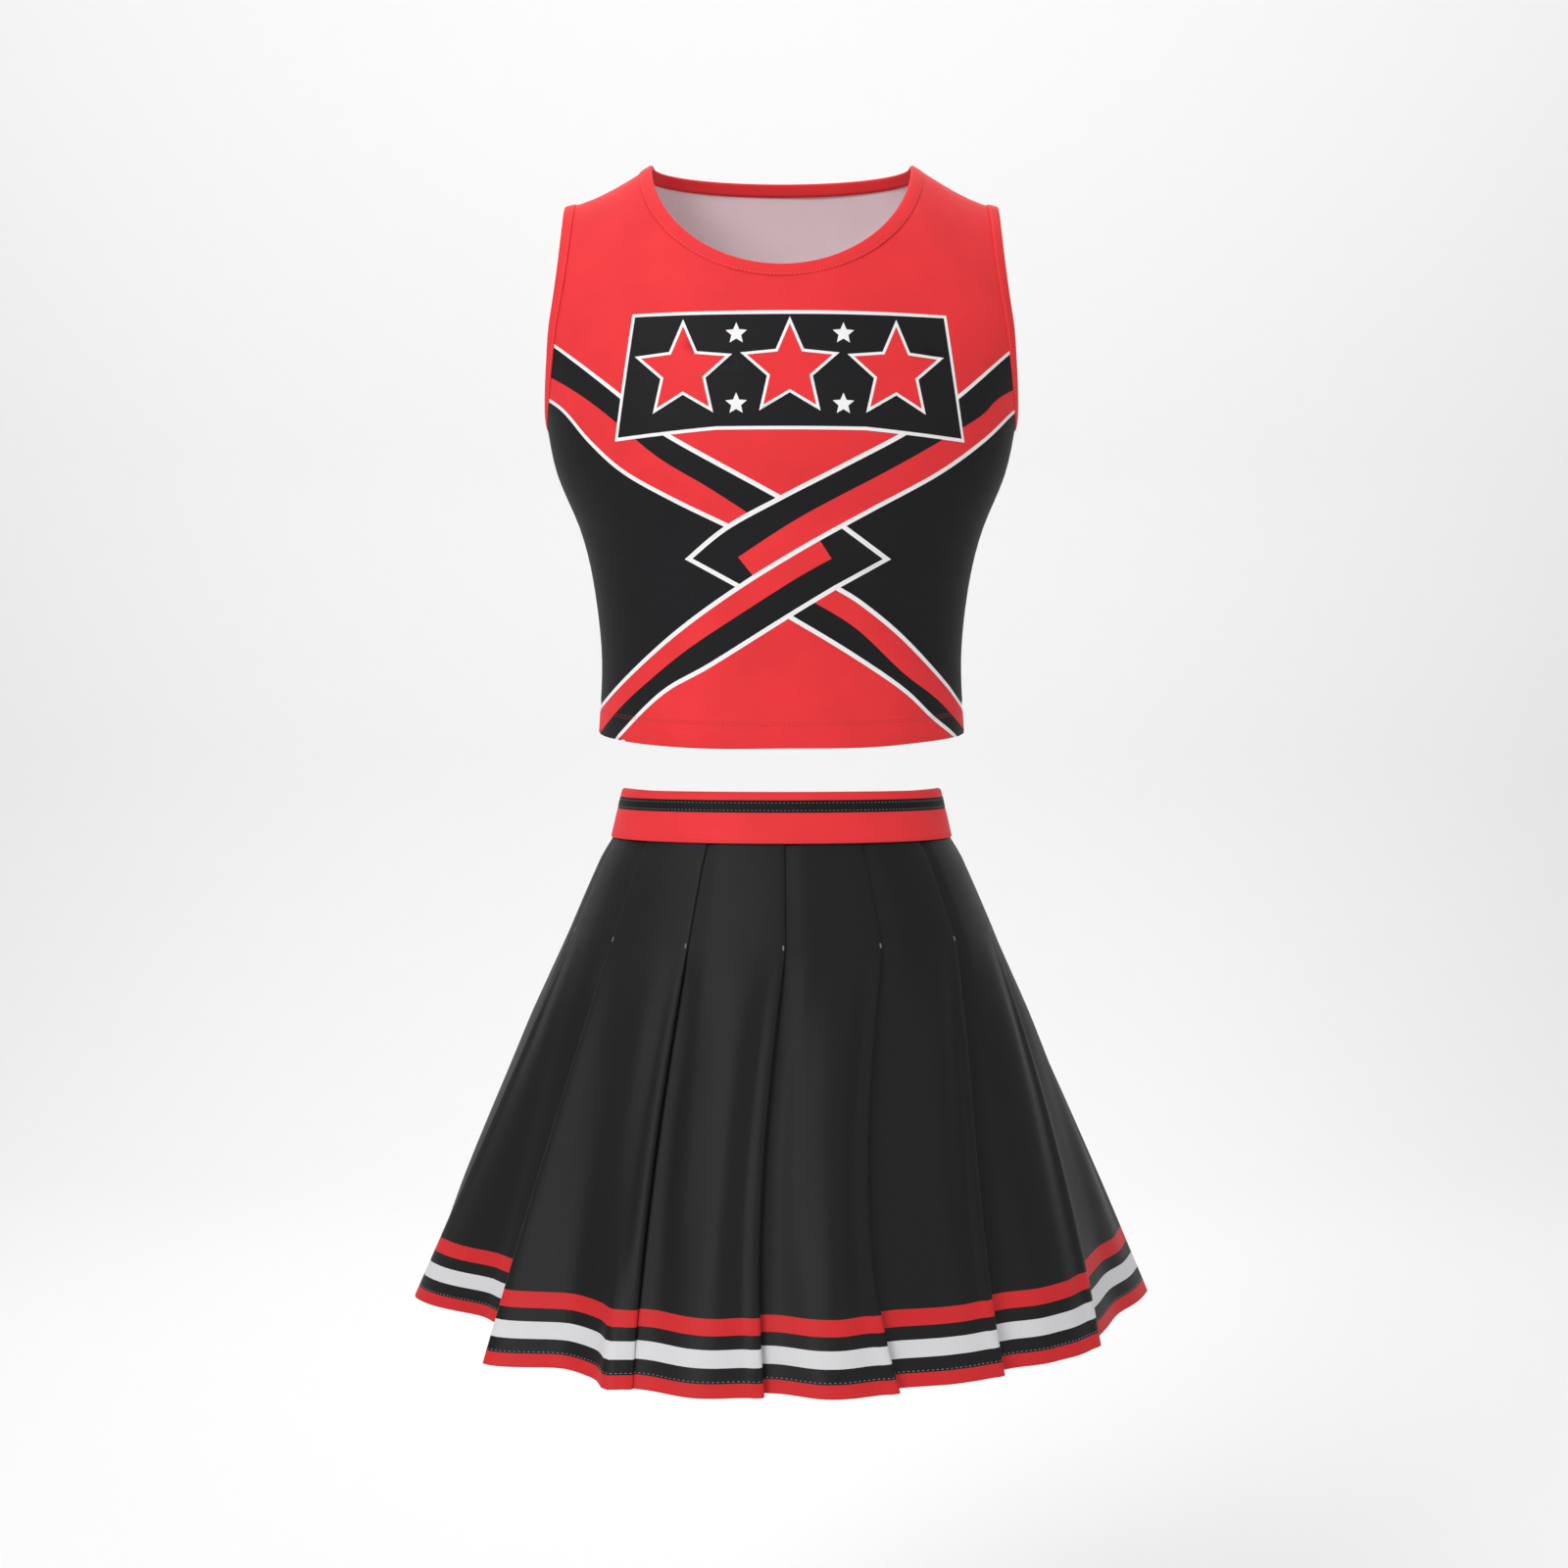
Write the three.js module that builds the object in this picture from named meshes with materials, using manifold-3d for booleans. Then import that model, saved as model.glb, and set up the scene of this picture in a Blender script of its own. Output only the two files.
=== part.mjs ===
// Cheer uniform: a sleeveless knit crop top and a pleated skirt, shown one above the other as worn.
//
// Millimetres. +Z is up, the wearer faces -Y and the wearer's left is +X.
// The origin is the centre of the top edge of the skirt's waistband.
// Angles round the body are in degrees from the centre front, growing towards the wearer's left.
//
// Every cloth piece is a closed sheet: a box whose columns, rows and thickness are laid along the
// body. The pieces of one garment keep a small gap at their seams.

import Module from 'manifold-3d';
import * as THREE from 'three';
import { mergeVertices } from 'three/addons/utils/BufferGeometryUtils.js';

// ---------------------------------------------------------------- driving dimensions

const SEAM_GAP = 0.3;                 // between two pieces that are sewn or clipped together
const KNIT_THICKNESS = 1.6;           // top panels
const RIB_THICKNESS = 2.0;            // folded bindings
const SKIRT_THICKNESS = 1.2;          // yoke and pleats

// Top: half width of the torso form at each height, and its depth in front and behind.
const TORSO_HALF_WIDTH = [[33, 140], [98, 137], [154, 143], [195, 152.6], [239, 170], [280, 178],
  [316, 185.3], [350, 190], [510, 190]];
const FRONT_DEPTH = [[33, 98], [98, 96], [180, 103], [245, 110], [320, 106], [510, 100]];
const BACK_DEPTH = [[33, 95], [98, 90], [180, 92], [260, 96], [340, 98], [510, 95]];
const SHOULDER_ROUNDING = 2.2;        // exponent of the curve from chest to shoulder seam
const SHOULDER_FORWARD = 5;           // the shoulder seam lies this far behind the side seam

const HEM_HEIGHT = 43;                // bottom edge of the top at its side seams
const HEM_DIP = 8;                    // how much lower it is at the centre front
const HEM_TURN_UP = 20;
const TURN_UP_THICKNESS = 0.8;
const ARMPIT_HEIGHT = 280;
const NECK_POINT = { x: 97, z: 469 };
const SHOULDER_TIP = { x: 162.4, z: 438.5 };
const SHOULDER_HOLLOW = 1.45;         // exponent of the shoulder line, which is slightly hollow
const FRONT_NECK_DROP = 88;
const BACK_NECK_DROP = 2;
const BINDING_WIDTH = 8.6;
const ROUND = [-89.8, 269.8];         // a strip right round, from the wearer's right side seam
const ARMHOLE_SWEEP = 31.5;           // degrees of the torso form that the armhole takes
const ARMHOLE_BINDING_SWEEP = 4.3;    // degrees that its binding takes
const STAY_TAPE = { half: 5, inset: 13, below: 1.6, thickness: 0.6 };

// Skirt: half width and half depth of the cone that the pleats hang on.
const WAIST_HALF_WIDTH = 122;
const WAIST_HALF_DEPTH = 90;
const BAND_HEIGHT = 36;
const BAND_FLARE = 0.236;             // growth of the half width down the waistband
const BAND_PLY = 1.0;
const BAND_FOLD = 4.0;                // thickness over both plies and the interlining
const FRONT_WAIST_RISE = 3.5;         // the waist is cut a little higher at the centre front
const BACK_WAIST_DIP = 12;            // and lower at the centre back
const SKIRT_HALF_WIDTH = [[-28, 127.2], [-38, 129.5], [-52, 137.8], [-121, 167.8], [-387, 277]];
const SKIRT_HALF_DEPTH = [[-18, 95.2], [-28, 98.8], [-38, 102.4], [-52, 107.6], [-121, 132.7], [-387, 247]];
const INTERLINING_THICKNESS = 0.8;
const YOKE_TOP = -28.5;
const YOKE_SHOULDER = -38;            // just below the waistband
const RELEASE_HEIGHT = -106;          // where the stitching ends and each pleat swings free
const HEM_LEVEL = -387;

const PLEATS = 14;
const PLEAT_PITCH = 360 / PLEATS;
const FIRST_FOLD = 1;                 // degrees, the fold next to the centre front
// Where folds -6 to 8 lie at the hem, as angles round the skirt.
const HEM_FOLDS = [-159, -130, -105, -83.5, -45.3, -20.6, -2.3, 16.2, 33, 54, 87, 112, 139, 168, 201];
// How far some folds bow sideways halfway down, in degrees.
const FOLD_BOWS = { '-1': -1, 0: -2.5, 1: -5.6, 2: -4, 3: -1 };
const TUCK_AT_RELEASE = 25;
const TUCK_AT_HEM = 58;

// How a fold lies at the hem: its outer edge out from the cone, the step in to its neighbour, and
// how much further in the neighbour's hidden end lies.
const FOLD = { top: 6, step: 10, lean: 0 };
const ODD_FOLDS = {
  '-3': { top: 6, step: 14, lean: 40 },
  '-2': { top: 17.5, step: 66, lean: 0 },
  '-1': { top: 16, step: 10, lean: 24 },
  0: { top: 10, step: 10, lean: 0 },
  1: { top: 11, step: 10, lean: 0 },
  4: { top: 6, step: 10, lean: 18 },
};
// How far out the middle of a pleat lies at the hem.
const FACE_LEVEL = 4;
const ODD_FACE_LEVELS = { '-3': -36, '-2': -10, '-1': 12, 0: 12, 3: -12 };
const FLAT_LEVEL = 0.3;               // of a fold and a face at the release line
const FOLD_RADIUS = [1.1, 4];         // at the release line and at the hem
const FOLD_OPENING = 2;               // least gap under a fold
const SETTLE = [0.16, 0.5];           // share of a face over which it leaves its fold's level
const BOX_FOLDS = [-2, -1];            // the two folds of the box pleat, which tuck less deeply
const BOX_TUCK_SHARE = 0.7;

// Zip, in its own frame: z runs up the centre back from the band's top edge, y points outwards.
const ZIP_SLOPE = 20;                 // degrees from the vertical
const ZIP_HALF_OPENING = 4;           // half the gap between the cloth edges beside the zip
const CHAIN_TOP = -10;
const CHAIN_BOTTOM = -84;
const TAPE_BOTTOM = -92;
const TAPE_INNER_EDGE = 1.1;
const TAPE_OUTER_EDGE = 13;
const TAPE_EDGE_IN_BAND = 3.7;
const TAPE_FACE = -3.6;
const TAPE_THICKNESS = 0.4;
const COIL_GAP = 1.6;                 // the slider's post runs between the coils
const COIL_WIDTH = 1.8;
const COIL_BACK = -2.9;
const COIL_FRONT = -1.3;
const TOP_STOP_LENGTH = 1.7;
const BOTTOM_STOP_LENGTH = 3.7;
const SLIDER_TOP = -13;
const SLIDER_FRONT = { half: 4.2, length: 10, face: 1.4 };
const SLIDER_BACK = { half: 3, length: 8, face: -4.1 };
const SLIDER_PLATE = 1;               // thickness of its plates
const TAB_PIVOT = { y: 2.5, z: SLIDER_TOP - 4.5 };
const TAB_THICKNESS = 1;
const TAB_LENGTH = 25.5;
const BAND_ON_SLOPE = 38.3;           // height of the waistband measured along the zip

const RED = 0xe8383c;
const BLACK = 0x2b2b2d;
const WHITE = 0xf4f4f4;
const STEEL = 0xb8babd;

const cloth = (color) => new THREE.MeshStandardMaterial({ color, roughness: 0.85, metalness: 0 });
const metal = (color) => new THREE.MeshStandardMaterial({ color, roughness: 0.35, metalness: 1 });

// ---------------------------------------------------------------- shared geometry

const radians = THREE.MathUtils.degToRad;
const lerp = THREE.MathUtils.lerp;
const clamp = THREE.MathUtils.clamp;
const smoothstep = THREE.MathUtils.smoothstep;

// A smooth curve through [position, value] pairs: cubic pieces with averaged slopes.
function through(points, at) {
  const last = points.length - 1;
  const list = points[last][0] > points[0][0] ? points : [...points].reverse();
  const slope = (i) => {
    const a = list[Math.max(i - 1, 0)];
    const b = list[Math.min(i + 1, last)];
    return (b[1] - a[1]) / (b[0] - a[0]);
  };
  let i = 0;
  while (i < last - 1 && at > list[i + 1][0]) {
    i += 1;
  }
  const span = list[i + 1][0] - list[i][0];
  const t = clamp((at - list[i][0]) / span, 0, 1);
  const t2 = t * t;
  const t3 = t2 * t;
  return (2 * t3 - 3 * t2 + 1) * list[i][1] + (t3 - 2 * t2 + t) * span * slope(i)
    + (3 * t2 - 2 * t3) * list[i + 1][1] + (t3 - t2) * span * slope(i + 1);
}

// Cuts the quads of a box's last face along the other diagonal, so that in a sheet the two faces
// are creased alike and keep their distance.
function matchDiagonals(geometry) {
  const { index, groups } = geometry;
  const { start, count } = groups[groups.length - 1];
  for (let i = start; i < start + count; i += 6) {
    const [a, b, d, c] = [index.getX(i), index.getX(i + 1), index.getX(i + 2), index.getX(i + 4)];
    [a, b, c, a, c, d].forEach((corner, place) => index.setX(i + place, corner));
  }
}

// A closed sheet. place(u, v, w) gives a point; u, v and w each run from 0 to 1, in that order
// along the cloth, up it, and out through its thickness.
function sheet(name, material, columns, rows, place) {
  const geometry = new THREE.BoxGeometry(1, 1, 1, columns, rows, 1);
  matchDiagonals(geometry);
  const position = geometry.attributes.position;
  for (let i = 0; i < position.count; i += 1) {
    const u = Math.round((position.getX(i) + 0.5) * columns) / columns;
    const v = Math.round((position.getY(i) + 0.5) * rows) / rows;
    const w = Math.round(position.getZ(i) + 0.5);
    const point = place(u, v, w);
    position.setXYZ(i, point.x, point.y, point.z);
  }
  geometry.computeVertexNormals();
  const mesh = new THREE.Mesh(geometry, material);
  mesh.name = name;
  return mesh;
}

// Gives a surface a thickness, measured inwards from its outer face along the normal.
function thick(surface, thickness, inset = 0) {
  const step = 1e-3;
  return (u, v, w) => {
    const along = surface(Math.min(u + step, 1), v).sub(surface(Math.max(u - step, 0), v));
    const up = surface(u, Math.min(v + step, 1)).sub(surface(u, Math.max(v - step, 0)));
    const normal = along.cross(up).normalize();
    return surface(u, v).addScaledVector(normal, (w - 1) * thickness - inset);
  };
}

// ---------------------------------------------------------------- the crop top

// Height of the shoulder seam at a distance x from the centre; it goes on smoothly over the neck.
function shoulderHeight(x) {
  const span = SHOULDER_TIP.x - NECK_POINT.x;
  const drop = NECK_POINT.z - SHOULDER_TIP.z;
  const out = Math.abs(x);
  if (out < NECK_POINT.x) {
    const slope = (SHOULDER_HOLLOW * drop) / span;
    return NECK_POINT.z + 0.5 * slope * NECK_POINT.x * (1 - (out / NECK_POINT.x) ** 2);
  }
  const left = Math.max(1 - (out - NECK_POINT.x) / span, 0);
  return SHOULDER_TIP.z + drop * left ** SHOULDER_HOLLOW;
}

// A point of the torso form at an angle round it and a height; side is -1 in front, +1 behind.
function torso(angle, z, side) {
  const x = through(TORSO_HALF_WIDTH, z) * Math.sin(radians(angle));
  const depth = through(side < 0 ? FRONT_DEPTH : BACK_DEPTH, z) * Math.cos(radians(angle));
  const rise = clamp((z - ARMPIT_HEIGHT) / (shoulderHeight(x) - ARMPIT_HEIGHT), 0, 1);
  const closing = (1 - rise ** SHOULDER_ROUNDING) ** (1 / SHOULDER_ROUNDING);
  const y = side * (depth * closing + SEAM_GAP) + SHOULDER_FORWARD * rise ** 2;
  return new THREE.Vector3(x, y, z);
}

// The armhole's edges are a family of half ellipses round the armpit: 0 is the finished edge,
// 1 is the edge of the panel that the binding is sewn to.
function armholeBottom(ring) {
  return ARMPIT_HEIGHT - BINDING_WIDTH * ring;
}

function armholeTip(ring) {
  const x = through(TORSO_HALF_WIDTH, SHOULDER_TIP.z)
    * Math.cos(radians(ARMHOLE_SWEEP + ARMHOLE_BINDING_SWEEP * ring));
  return { x, z: shoulderHeight(x) };
}

function armholeAngle(z, ring) {
  const low = armholeBottom(ring);
  const rise = clamp((z - low) / (armholeTip(ring).z - low), 0, 1);
  const sweep = ARMHOLE_SWEEP + ARMHOLE_BINDING_SWEEP * ring;
  return 90 - sweep * Math.sqrt(1 - (1 - rise) ** 2);
}

// The neckline's edges are half ellipses too, 0 at the finished edge and 1 at the panel.
function neckEdge(x, side, ring) {
  const half = NECK_POINT.x + BINDING_WIDTH * ring;
  const end = shoulderHeight(half);
  const bottom = NECK_POINT.z - (side < 0 ? FRONT_NECK_DROP : BACK_NECK_DROP) - BINDING_WIDTH * ring;
  return end - (end - bottom) * Math.sqrt(Math.max(1 - (x / half) ** 2, 0));
}

function hemHeight(angle, side) {
  return HEM_HEIGHT - (side < 0 ? HEM_DIP * Math.cos(radians(angle)) : 0);
}

const PANEL_RING = 1 + SEAM_GAP / BINDING_WIDTH;
const PANEL_COLUMNS = 20;
const NECK_COLUMNS = 12;              // those that end at the neckline, between the shoulder ones
const BODY_ROWS = 5;
const ARMHOLE_ROWS = 8;

// Rows along an armhole lie close together at its bottom and at the shoulder.
const armholeSpacing = (share) => (1 - Math.cos(Math.PI * share)) / 2;

// One panel of the top, side -1 in front or +1 behind. Its lower half runs from the hem to the
// armpit, and its upper half from there to the neckline and the shoulder seams.
function topPanel(name, side) {
  const low = armholeBottom(PANEL_RING);
  const tip = armholeTip(PANEL_RING);
  const neckHalf = NECK_POINT.x + BINDING_WIDTH * PANEL_RING;
  const torsoHalf = through(TORSO_HALF_WIDTH, SHOULDER_TIP.z);
  const neckShare = NECK_COLUMNS / PANEL_COLUMNS;
  const bodyShare = BODY_ROWS / (BODY_ROWS + ARMHOLE_ROWS);
  const endOf = (across) => {
    const out = Math.abs(across);
    const shoulder = (out - neckShare) / (1 - neckShare);
    const x = Math.sign(across) * (out < neckShare
      ? neckHalf * Math.sin((Math.PI / 2) * (out / neckShare))
      : lerp(neckHalf, tip.x, shoulder));
    const z = out < neckShare ? neckEdge(x, side, PANEL_RING) : shoulderHeight(x);
    return { x, z };
  };
  const surface = (u, v) => {
    const across = -side * (2 * u - 1);
    if (v <= bodyShare) {
      const angle = 90 * across;
      return torso(angle, lerp(hemHeight(angle, side), low, v / bodyShare), side);
    }
    const climb = armholeSpacing((v - bodyShare) / (1 - bodyShare));
    const end = endOf(across);
    const z = lerp(low, end.z, climb);
    const endAngle = THREE.MathUtils.radToDeg(Math.asin(end.x / torsoHalf));
    const share = lerp(across, endAngle / armholeAngle(tip.z, PANEL_RING), climb);
    return torso(armholeAngle(z, PANEL_RING) * share, z, side);
  };
  const rows = BODY_ROWS + ARMHOLE_ROWS;
  return sheet(name, cloth(RED), PANEL_COLUMNS, rows, thick(surface, KNIT_THICKNESS));
}

// The neck binding is one folded strip. It starts and ends at the wearer's right shoulder seam.
function neckBinding() {
  const surface = (u, v) => {
    const turn = lerp(...ROUND, u);
    const side = turn < 90 ? -1 : 1;
    const ring = 1 - v;
    const half = NECK_POINT.x + BINDING_WIDTH * ring;
    const x = half * Math.sin(radians(turn));
    const z = neckEdge(x, side, ring);
    const angle = THREE.MathUtils.radToDeg(Math.asin(x / through(TORSO_HALF_WIDTH, z)));
    const point = torso(angle, z, side);
    point.y -= side * SEAM_GAP;
    return point;
  };
  return sheet('neck_binding', cloth(RED), 2 * NECK_COLUMNS, 1, thick(surface, RIB_THICKNESS));
}

// An armhole binding runs from the shoulder seam down the front, under the arm and up the back.
// hand is +1 for the wearer's left.
function armholeBinding(name, hand) {
  const surface = (u, v) => {
    const turn = hand * lerp(1, -1, u);
    const side = turn > 0 ? -1 : 1;
    const ring = 1 - v;
    const low = armholeBottom(ring);
    const high = armholeTip(ring).z;
    const rise = armholeSpacing(Math.abs(turn));
    const z = lerp(low, high - 0.05, rise);
    const point = torso(hand * armholeAngle(z, ring), z, side);
    point.y -= side * SEAM_GAP * (1 - rise);
    return point;
  };
  return sheet(name, cloth(RED), 2 * ARMHOLE_ROWS, 1, thick(surface, RIB_THICKNESS));
}

// The hem is turned up inside the top; its ends meet at the wearer's right side seam.
function hemTurnUp() {
  const surface = (u, v) => {
    const turn = lerp(...ROUND, u);
    const side = turn < 90 ? -1 : 1;
    const angle = side < 0 ? turn : 180 - turn;
    const low = hemHeight(angle, side) + SEAM_GAP;
    return torso(angle, lerp(low, low + HEM_TURN_UP, v), side);
  };
  const inset = KNIT_THICKNESS + SEAM_GAP;
  const place = thick(surface, TURN_UP_THICKNESS, inset);
  return sheet('top_hem_turn_up', cloth(WHITE), 2 * PANEL_COLUMNS, 1, place);
}

// A narrow stay tape keeps each shoulder seam from stretching.
function shoulderTape(name, hand) {
  const { half, inset, below, thickness } = STAY_TAPE;
  const place = (u, v, w) => {
    const x = lerp(NECK_POINT.x + inset, SHOULDER_TIP.x - inset, u);
    const y = SHOULDER_FORWARD + lerp(-half, half, v);
    const z = shoulderHeight(x) - KNIT_THICKNESS - below - (1 - w) * thickness;
    return new THREE.Vector3(x, y, z);
  };
  const mirrored = (u, v, w) => {
    const point = place(1 - u, v, w);
    point.x = -point.x;
    return point;
  };
  return sheet(name, cloth(WHITE), 6, 1, hand > 0 ? place : mirrored);
}

// ---------------------------------------------------------------- the skirt's cone

// How far the waist's edge lies above its height at the sides.
function waistRise(angle) {
  const forward = Math.cos(radians(angle));
  const height = forward > 0 ? FRONT_WAIST_RISE : -BACK_WAIST_DIP;
  return height * Math.abs(forward) ** 1.2;
}

// A point on an ellipse, moved out along its normal.
function onEllipse(halfWidth, halfDepth, angle, out, z) {
  const sine = Math.sin(radians(angle));
  const cosine = Math.cos(radians(angle));
  const normal = new THREE.Vector3(sine / halfWidth, -cosine / halfDepth, 0).normalize();
  return new THREE.Vector3(halfWidth * sine, -halfDepth * cosine, z).addScaledVector(normal, out);
}

// z is measured from the waist's own top edge.
function bandPoint(angle, z, out) {
  const low = z + waistRise(angle);
  const halfWidth = WAIST_HALF_WIDTH - BAND_FLARE * z;
  const halfDepth = WAIST_HALF_DEPTH - Math.tan(radians(ZIP_SLOPE)) * low;
  return onEllipse(halfWidth, halfDepth, angle, out, low);
}

function conePoint(angle, z, out, drop = 0) {
  const halfDepth = through(SKIRT_HALF_DEPTH, z + drop);
  return onEllipse(through(SKIRT_HALF_WIDTH, z), halfDepth, angle, out, z + drop);
}

// Angle at which a back piece ends beside the zip, on an ellipse of this half width.
function zipEdge(halfWidth) {
  return 180 - THREE.MathUtils.radToDeg(Math.asin(ZIP_HALF_OPENING / halfWidth));
}

// The three pieces of the skirt's waist: each spans from one angle to another at a half width.
const YOKE_ROWS = 5;
const SIDE_SEAM = 0.08;               // degrees from the side seam to each piece
const WAIST_PIECES = [
  { suffix: 'front', columns: 24, from: () => -90 + SIDE_SEAM, to: () => 90 - SIDE_SEAM },
  { suffix: 'back_left', columns: 12, from: () => 90 + SIDE_SEAM, to: (half) => zipEdge(half) },
  { suffix: 'back_right', columns: 12, from: (half) => -zipEdge(half), to: () => -90 - SIDE_SEAM },
];

// The waistband's cloth is folded over at the top: up the outside, over, and down the inside.
function waistband({ suffix, columns, from, to }) {
  const middle = -BAND_FOLD / 2;
  const reach = BAND_FOLD / 2 - BAND_PLY / 2;
  const rows = 8;
  const path = (v) => {
    const straight = 3 / rows;
    if (v < straight) {
      return { z: lerp(-BAND_HEIGHT, -reach, v / straight), out: reach, turn: 0 };
    }
    if (v > 1 - straight) {
      return { z: lerp(-BAND_HEIGHT, -reach, (1 - v) / straight), out: -reach, turn: Math.PI };
    }
    const turn = (Math.PI * (v - straight)) / (1 - 2 * straight);
    return { z: -reach + reach * Math.sin(turn), out: reach * Math.cos(turn), turn };
  };
  const place = (u, v, w) => {
    const { z, out, turn } = path(v);
    const swell = (w - 0.5) * BAND_PLY;
    const height = z + swell * Math.sin(turn) - BAND_PLY / 2;
    const angle = lerp(from(WAIST_HALF_WIDTH), to(WAIST_HALF_WIDTH), u);
    return bandPoint(angle, height, middle + out + swell * Math.cos(turn));
  };
  return sheet(`waistband_${suffix}`, cloth(RED), columns, rows, place);
}

function interlining({ suffix, columns, from, to }) {
  const place = (u, v, w) => {
    const angle = lerp(from(WAIST_HALF_WIDTH), to(WAIST_HALF_WIDTH), u);
    const out = -BAND_PLY - SEAM_GAP - (1 - w) * INTERLINING_THICKNESS;
    return bandPoint(angle, lerp(YOKE_TOP + 1, -2.5, v), out);
  };
  return sheet(`waistband_interlining_${suffix}`, cloth(WHITE), columns, 1, place);
}

// The yoke is the stitched-down part of the skirt, from inside the waistband to the release line.
function yoke({ suffix, columns, from, to }) {
  const place = (u, v, w) => {
    const low = RELEASE_HEIGHT + SEAM_GAP;
    const rise = Math.min(v / (1 - 1 / YOKE_ROWS), 1);
    const z = v < 1 ? lerp(low, YOKE_SHOULDER, rise) : YOKE_TOP;
    const half = through(SKIRT_HALF_WIDTH, z);
    const angle = lerp(from(half), to(half), u);
    return conePoint(angle, z, (w - 1) * SKIRT_THICKNESS, waistRise(angle) * rise);
  };
  return sheet(`skirt_yoke_${suffix}`, cloth(BLACK), columns, YOKE_ROWS, place);
}

// ---------------------------------------------------------------- the pleats

function foldAngle(k, fall) {
  const bow = 4 * (FOLD_BOWS[k] ?? 0) * fall * (1 - fall);
  return lerp(FIRST_FOLD + PLEAT_PITCH * k, HEM_FOLDS[k + 6], fall) + bow;
}

// Folds -1 to 7 open towards the wearer's left; folds -2 to -6 towards the right.
const foldsLeft = (k) => k >= -1 && k <= 7;

// A pleat's section at one height: levels out from the cone and the depths of its hidden ends.
// An outer end is a fold with a return under it; any other end is tucked under its neighbour.
function pleatPath(k, fall, width) {
  const rise = fall ** 1.1;
  const radius = lerp(...FOLD_RADIUS, rise);
  const endAt = (fold, outer) => {
    const shape = ODD_FOLDS[fold] ?? FOLD;
    const share = BOX_FOLDS.includes(fold) ? BOX_TUCK_SHARE : 1;
    const tuck = lerp(TUCK_AT_RELEASE, TUCK_AT_HEM, fall) * share;
    const top = lerp(FLAT_LEVEL, shape.top, rise);
    const bottom = top - Math.max(2 * radius + FOLD_OPENING, shape.step * rise);
    const far = bottom - shape.lean * rise;
    return { outer, tuck, far, level: outer ? top : bottom };
  };
  const start = endAt(k, !foldsLeft(k));
  const end = k === 7 ? endAt(-6, false) : endAt(k + 1, foldsLeft(k + 1));
  const level = ODD_FACE_LEVELS[k] ?? FACE_LEVEL;
  const middle = lerp(FLAT_LEVEL, level, rise);
  return { width, radius, start, end, middle, settle: level < 0 ? SETTLE[1] : lerp(...SETTLE, rise) };
}

function facePoint(path, share) {
  const left = path.start.outer ? path.radius : 0;
  const right = path.end.outer ? path.radius : 0;
  const near = share < 0.5 ? path.start.level : path.end.level;
  const ease = smoothstep(Math.min(share, 1 - share), 0, path.settle);
  return { along: lerp(left, path.width - right, share), out: lerp(near, path.middle, ease) };
}

function hiddenPoint(path, atEnd, share) {
  const side = atEnd ? path.end : path.start;
  const edge = atEnd ? path.width : 0;
  const inward = atEnd ? -1 : 1;
  if (side.outer) {
    const depth = lerp(path.radius, side.tuck, share);
    const under = side.level - 2 * path.radius;
    const between = (path.middle + side.far) / 2;
    return { along: edge + inward * depth, out: lerp(under, between, share) };
  }
  return { along: edge - inward * side.tuck * share, out: lerp(side.level, side.far, share) };
}

function foldPoint(path, atEnd, share) {
  const side = atEnd ? path.end : path.start;
  const edge = atEnd ? path.width : 0;
  const inward = atEnd ? -1 : 1;
  const turn = Math.PI * share;
  return {
    along: edge + inward * path.radius * (1 - Math.sin(turn)),
    out: side.level - path.radius * (1 - Math.cos(turn)),
  };
}

// Columns of a pleat from one hidden end to the other.
const HIDDEN_COLUMNS = 2;
const FOLD_COLUMNS = 3;
const FACE_COLUMNS = 6;
const PLEAT_ROWS = 8;

function pleatStops(k) {
  const stops = [{ kind: 'hidden', atEnd: false, share: 1 }];
  const add = (kind, atEnd, columns, inwards) => {
    for (let i = 1; i <= columns; i += 1) {
      stops.push({ kind, atEnd, share: inwards ? 1 - i / columns : i / columns });
    }
  };
  add('hidden', false, HIDDEN_COLUMNS, true);
  if (!foldsLeft(k)) {
    add('fold', false, FOLD_COLUMNS, true);
  }
  add('face', false, FACE_COLUMNS, false);
  if (k !== 7 && foldsLeft(k + 1)) {
    add('fold', true, FOLD_COLUMNS, false);
  }
  add('hidden', true, HIDDEN_COLUMNS, false);
  return stops;
}

function sectionPoint(path, { kind, atEnd, share }) {
  if (kind === 'hidden') {
    return hiddenPoint(path, atEnd, share);
  }
  return kind === 'fold' ? foldPoint(path, atEnd, share) : facePoint(path, share);
}

function pleat(k, number) {
  const stops = pleatStops(k);
  const columns = stops.length - 1;
  const place = (u, v, w) => {
    const fall = 1 - v;
    const z = lerp(RELEASE_HEIGHT, HEM_LEVEL, fall);
    const first = foldAngle(k, fall);
    const last = foldAngle(k + 1, fall);
    const near = conePoint(first, z, 0);
    const far = conePoint(last, z, 0);
    const width = near.distanceTo(far);
    const path = pleatPath(k, fall, width);
    const index = Math.round(u * columns);
    const here = sectionPoint(path, stops[index]);
    const before = sectionPoint(path, stops[Math.max(index - 1, 0)]);
    const after = sectionPoint(path, stops[Math.min(index + 1, columns)]);
    const length = Math.hypot(after.along - before.along, after.out - before.out);
    const shift = (w - 0.5) * SKIRT_THICKNESS;
    const along = here.along - ((after.out - before.out) / length) * shift;
    const out = here.out + ((after.along - before.along) / length) * shift;
    return conePoint(lerp(first, last, along / width), z, out - SKIRT_THICKNESS / 2);
  };
  const name = `pleat_${String(number).padStart(2, '0')}`;
  return sheet(name, cloth(BLACK), columns, PLEAT_ROWS, place);
}

// ---------------------------------------------------------------- the zip and the waist hook

const wasm = await Module();
wasm.setup();

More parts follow.
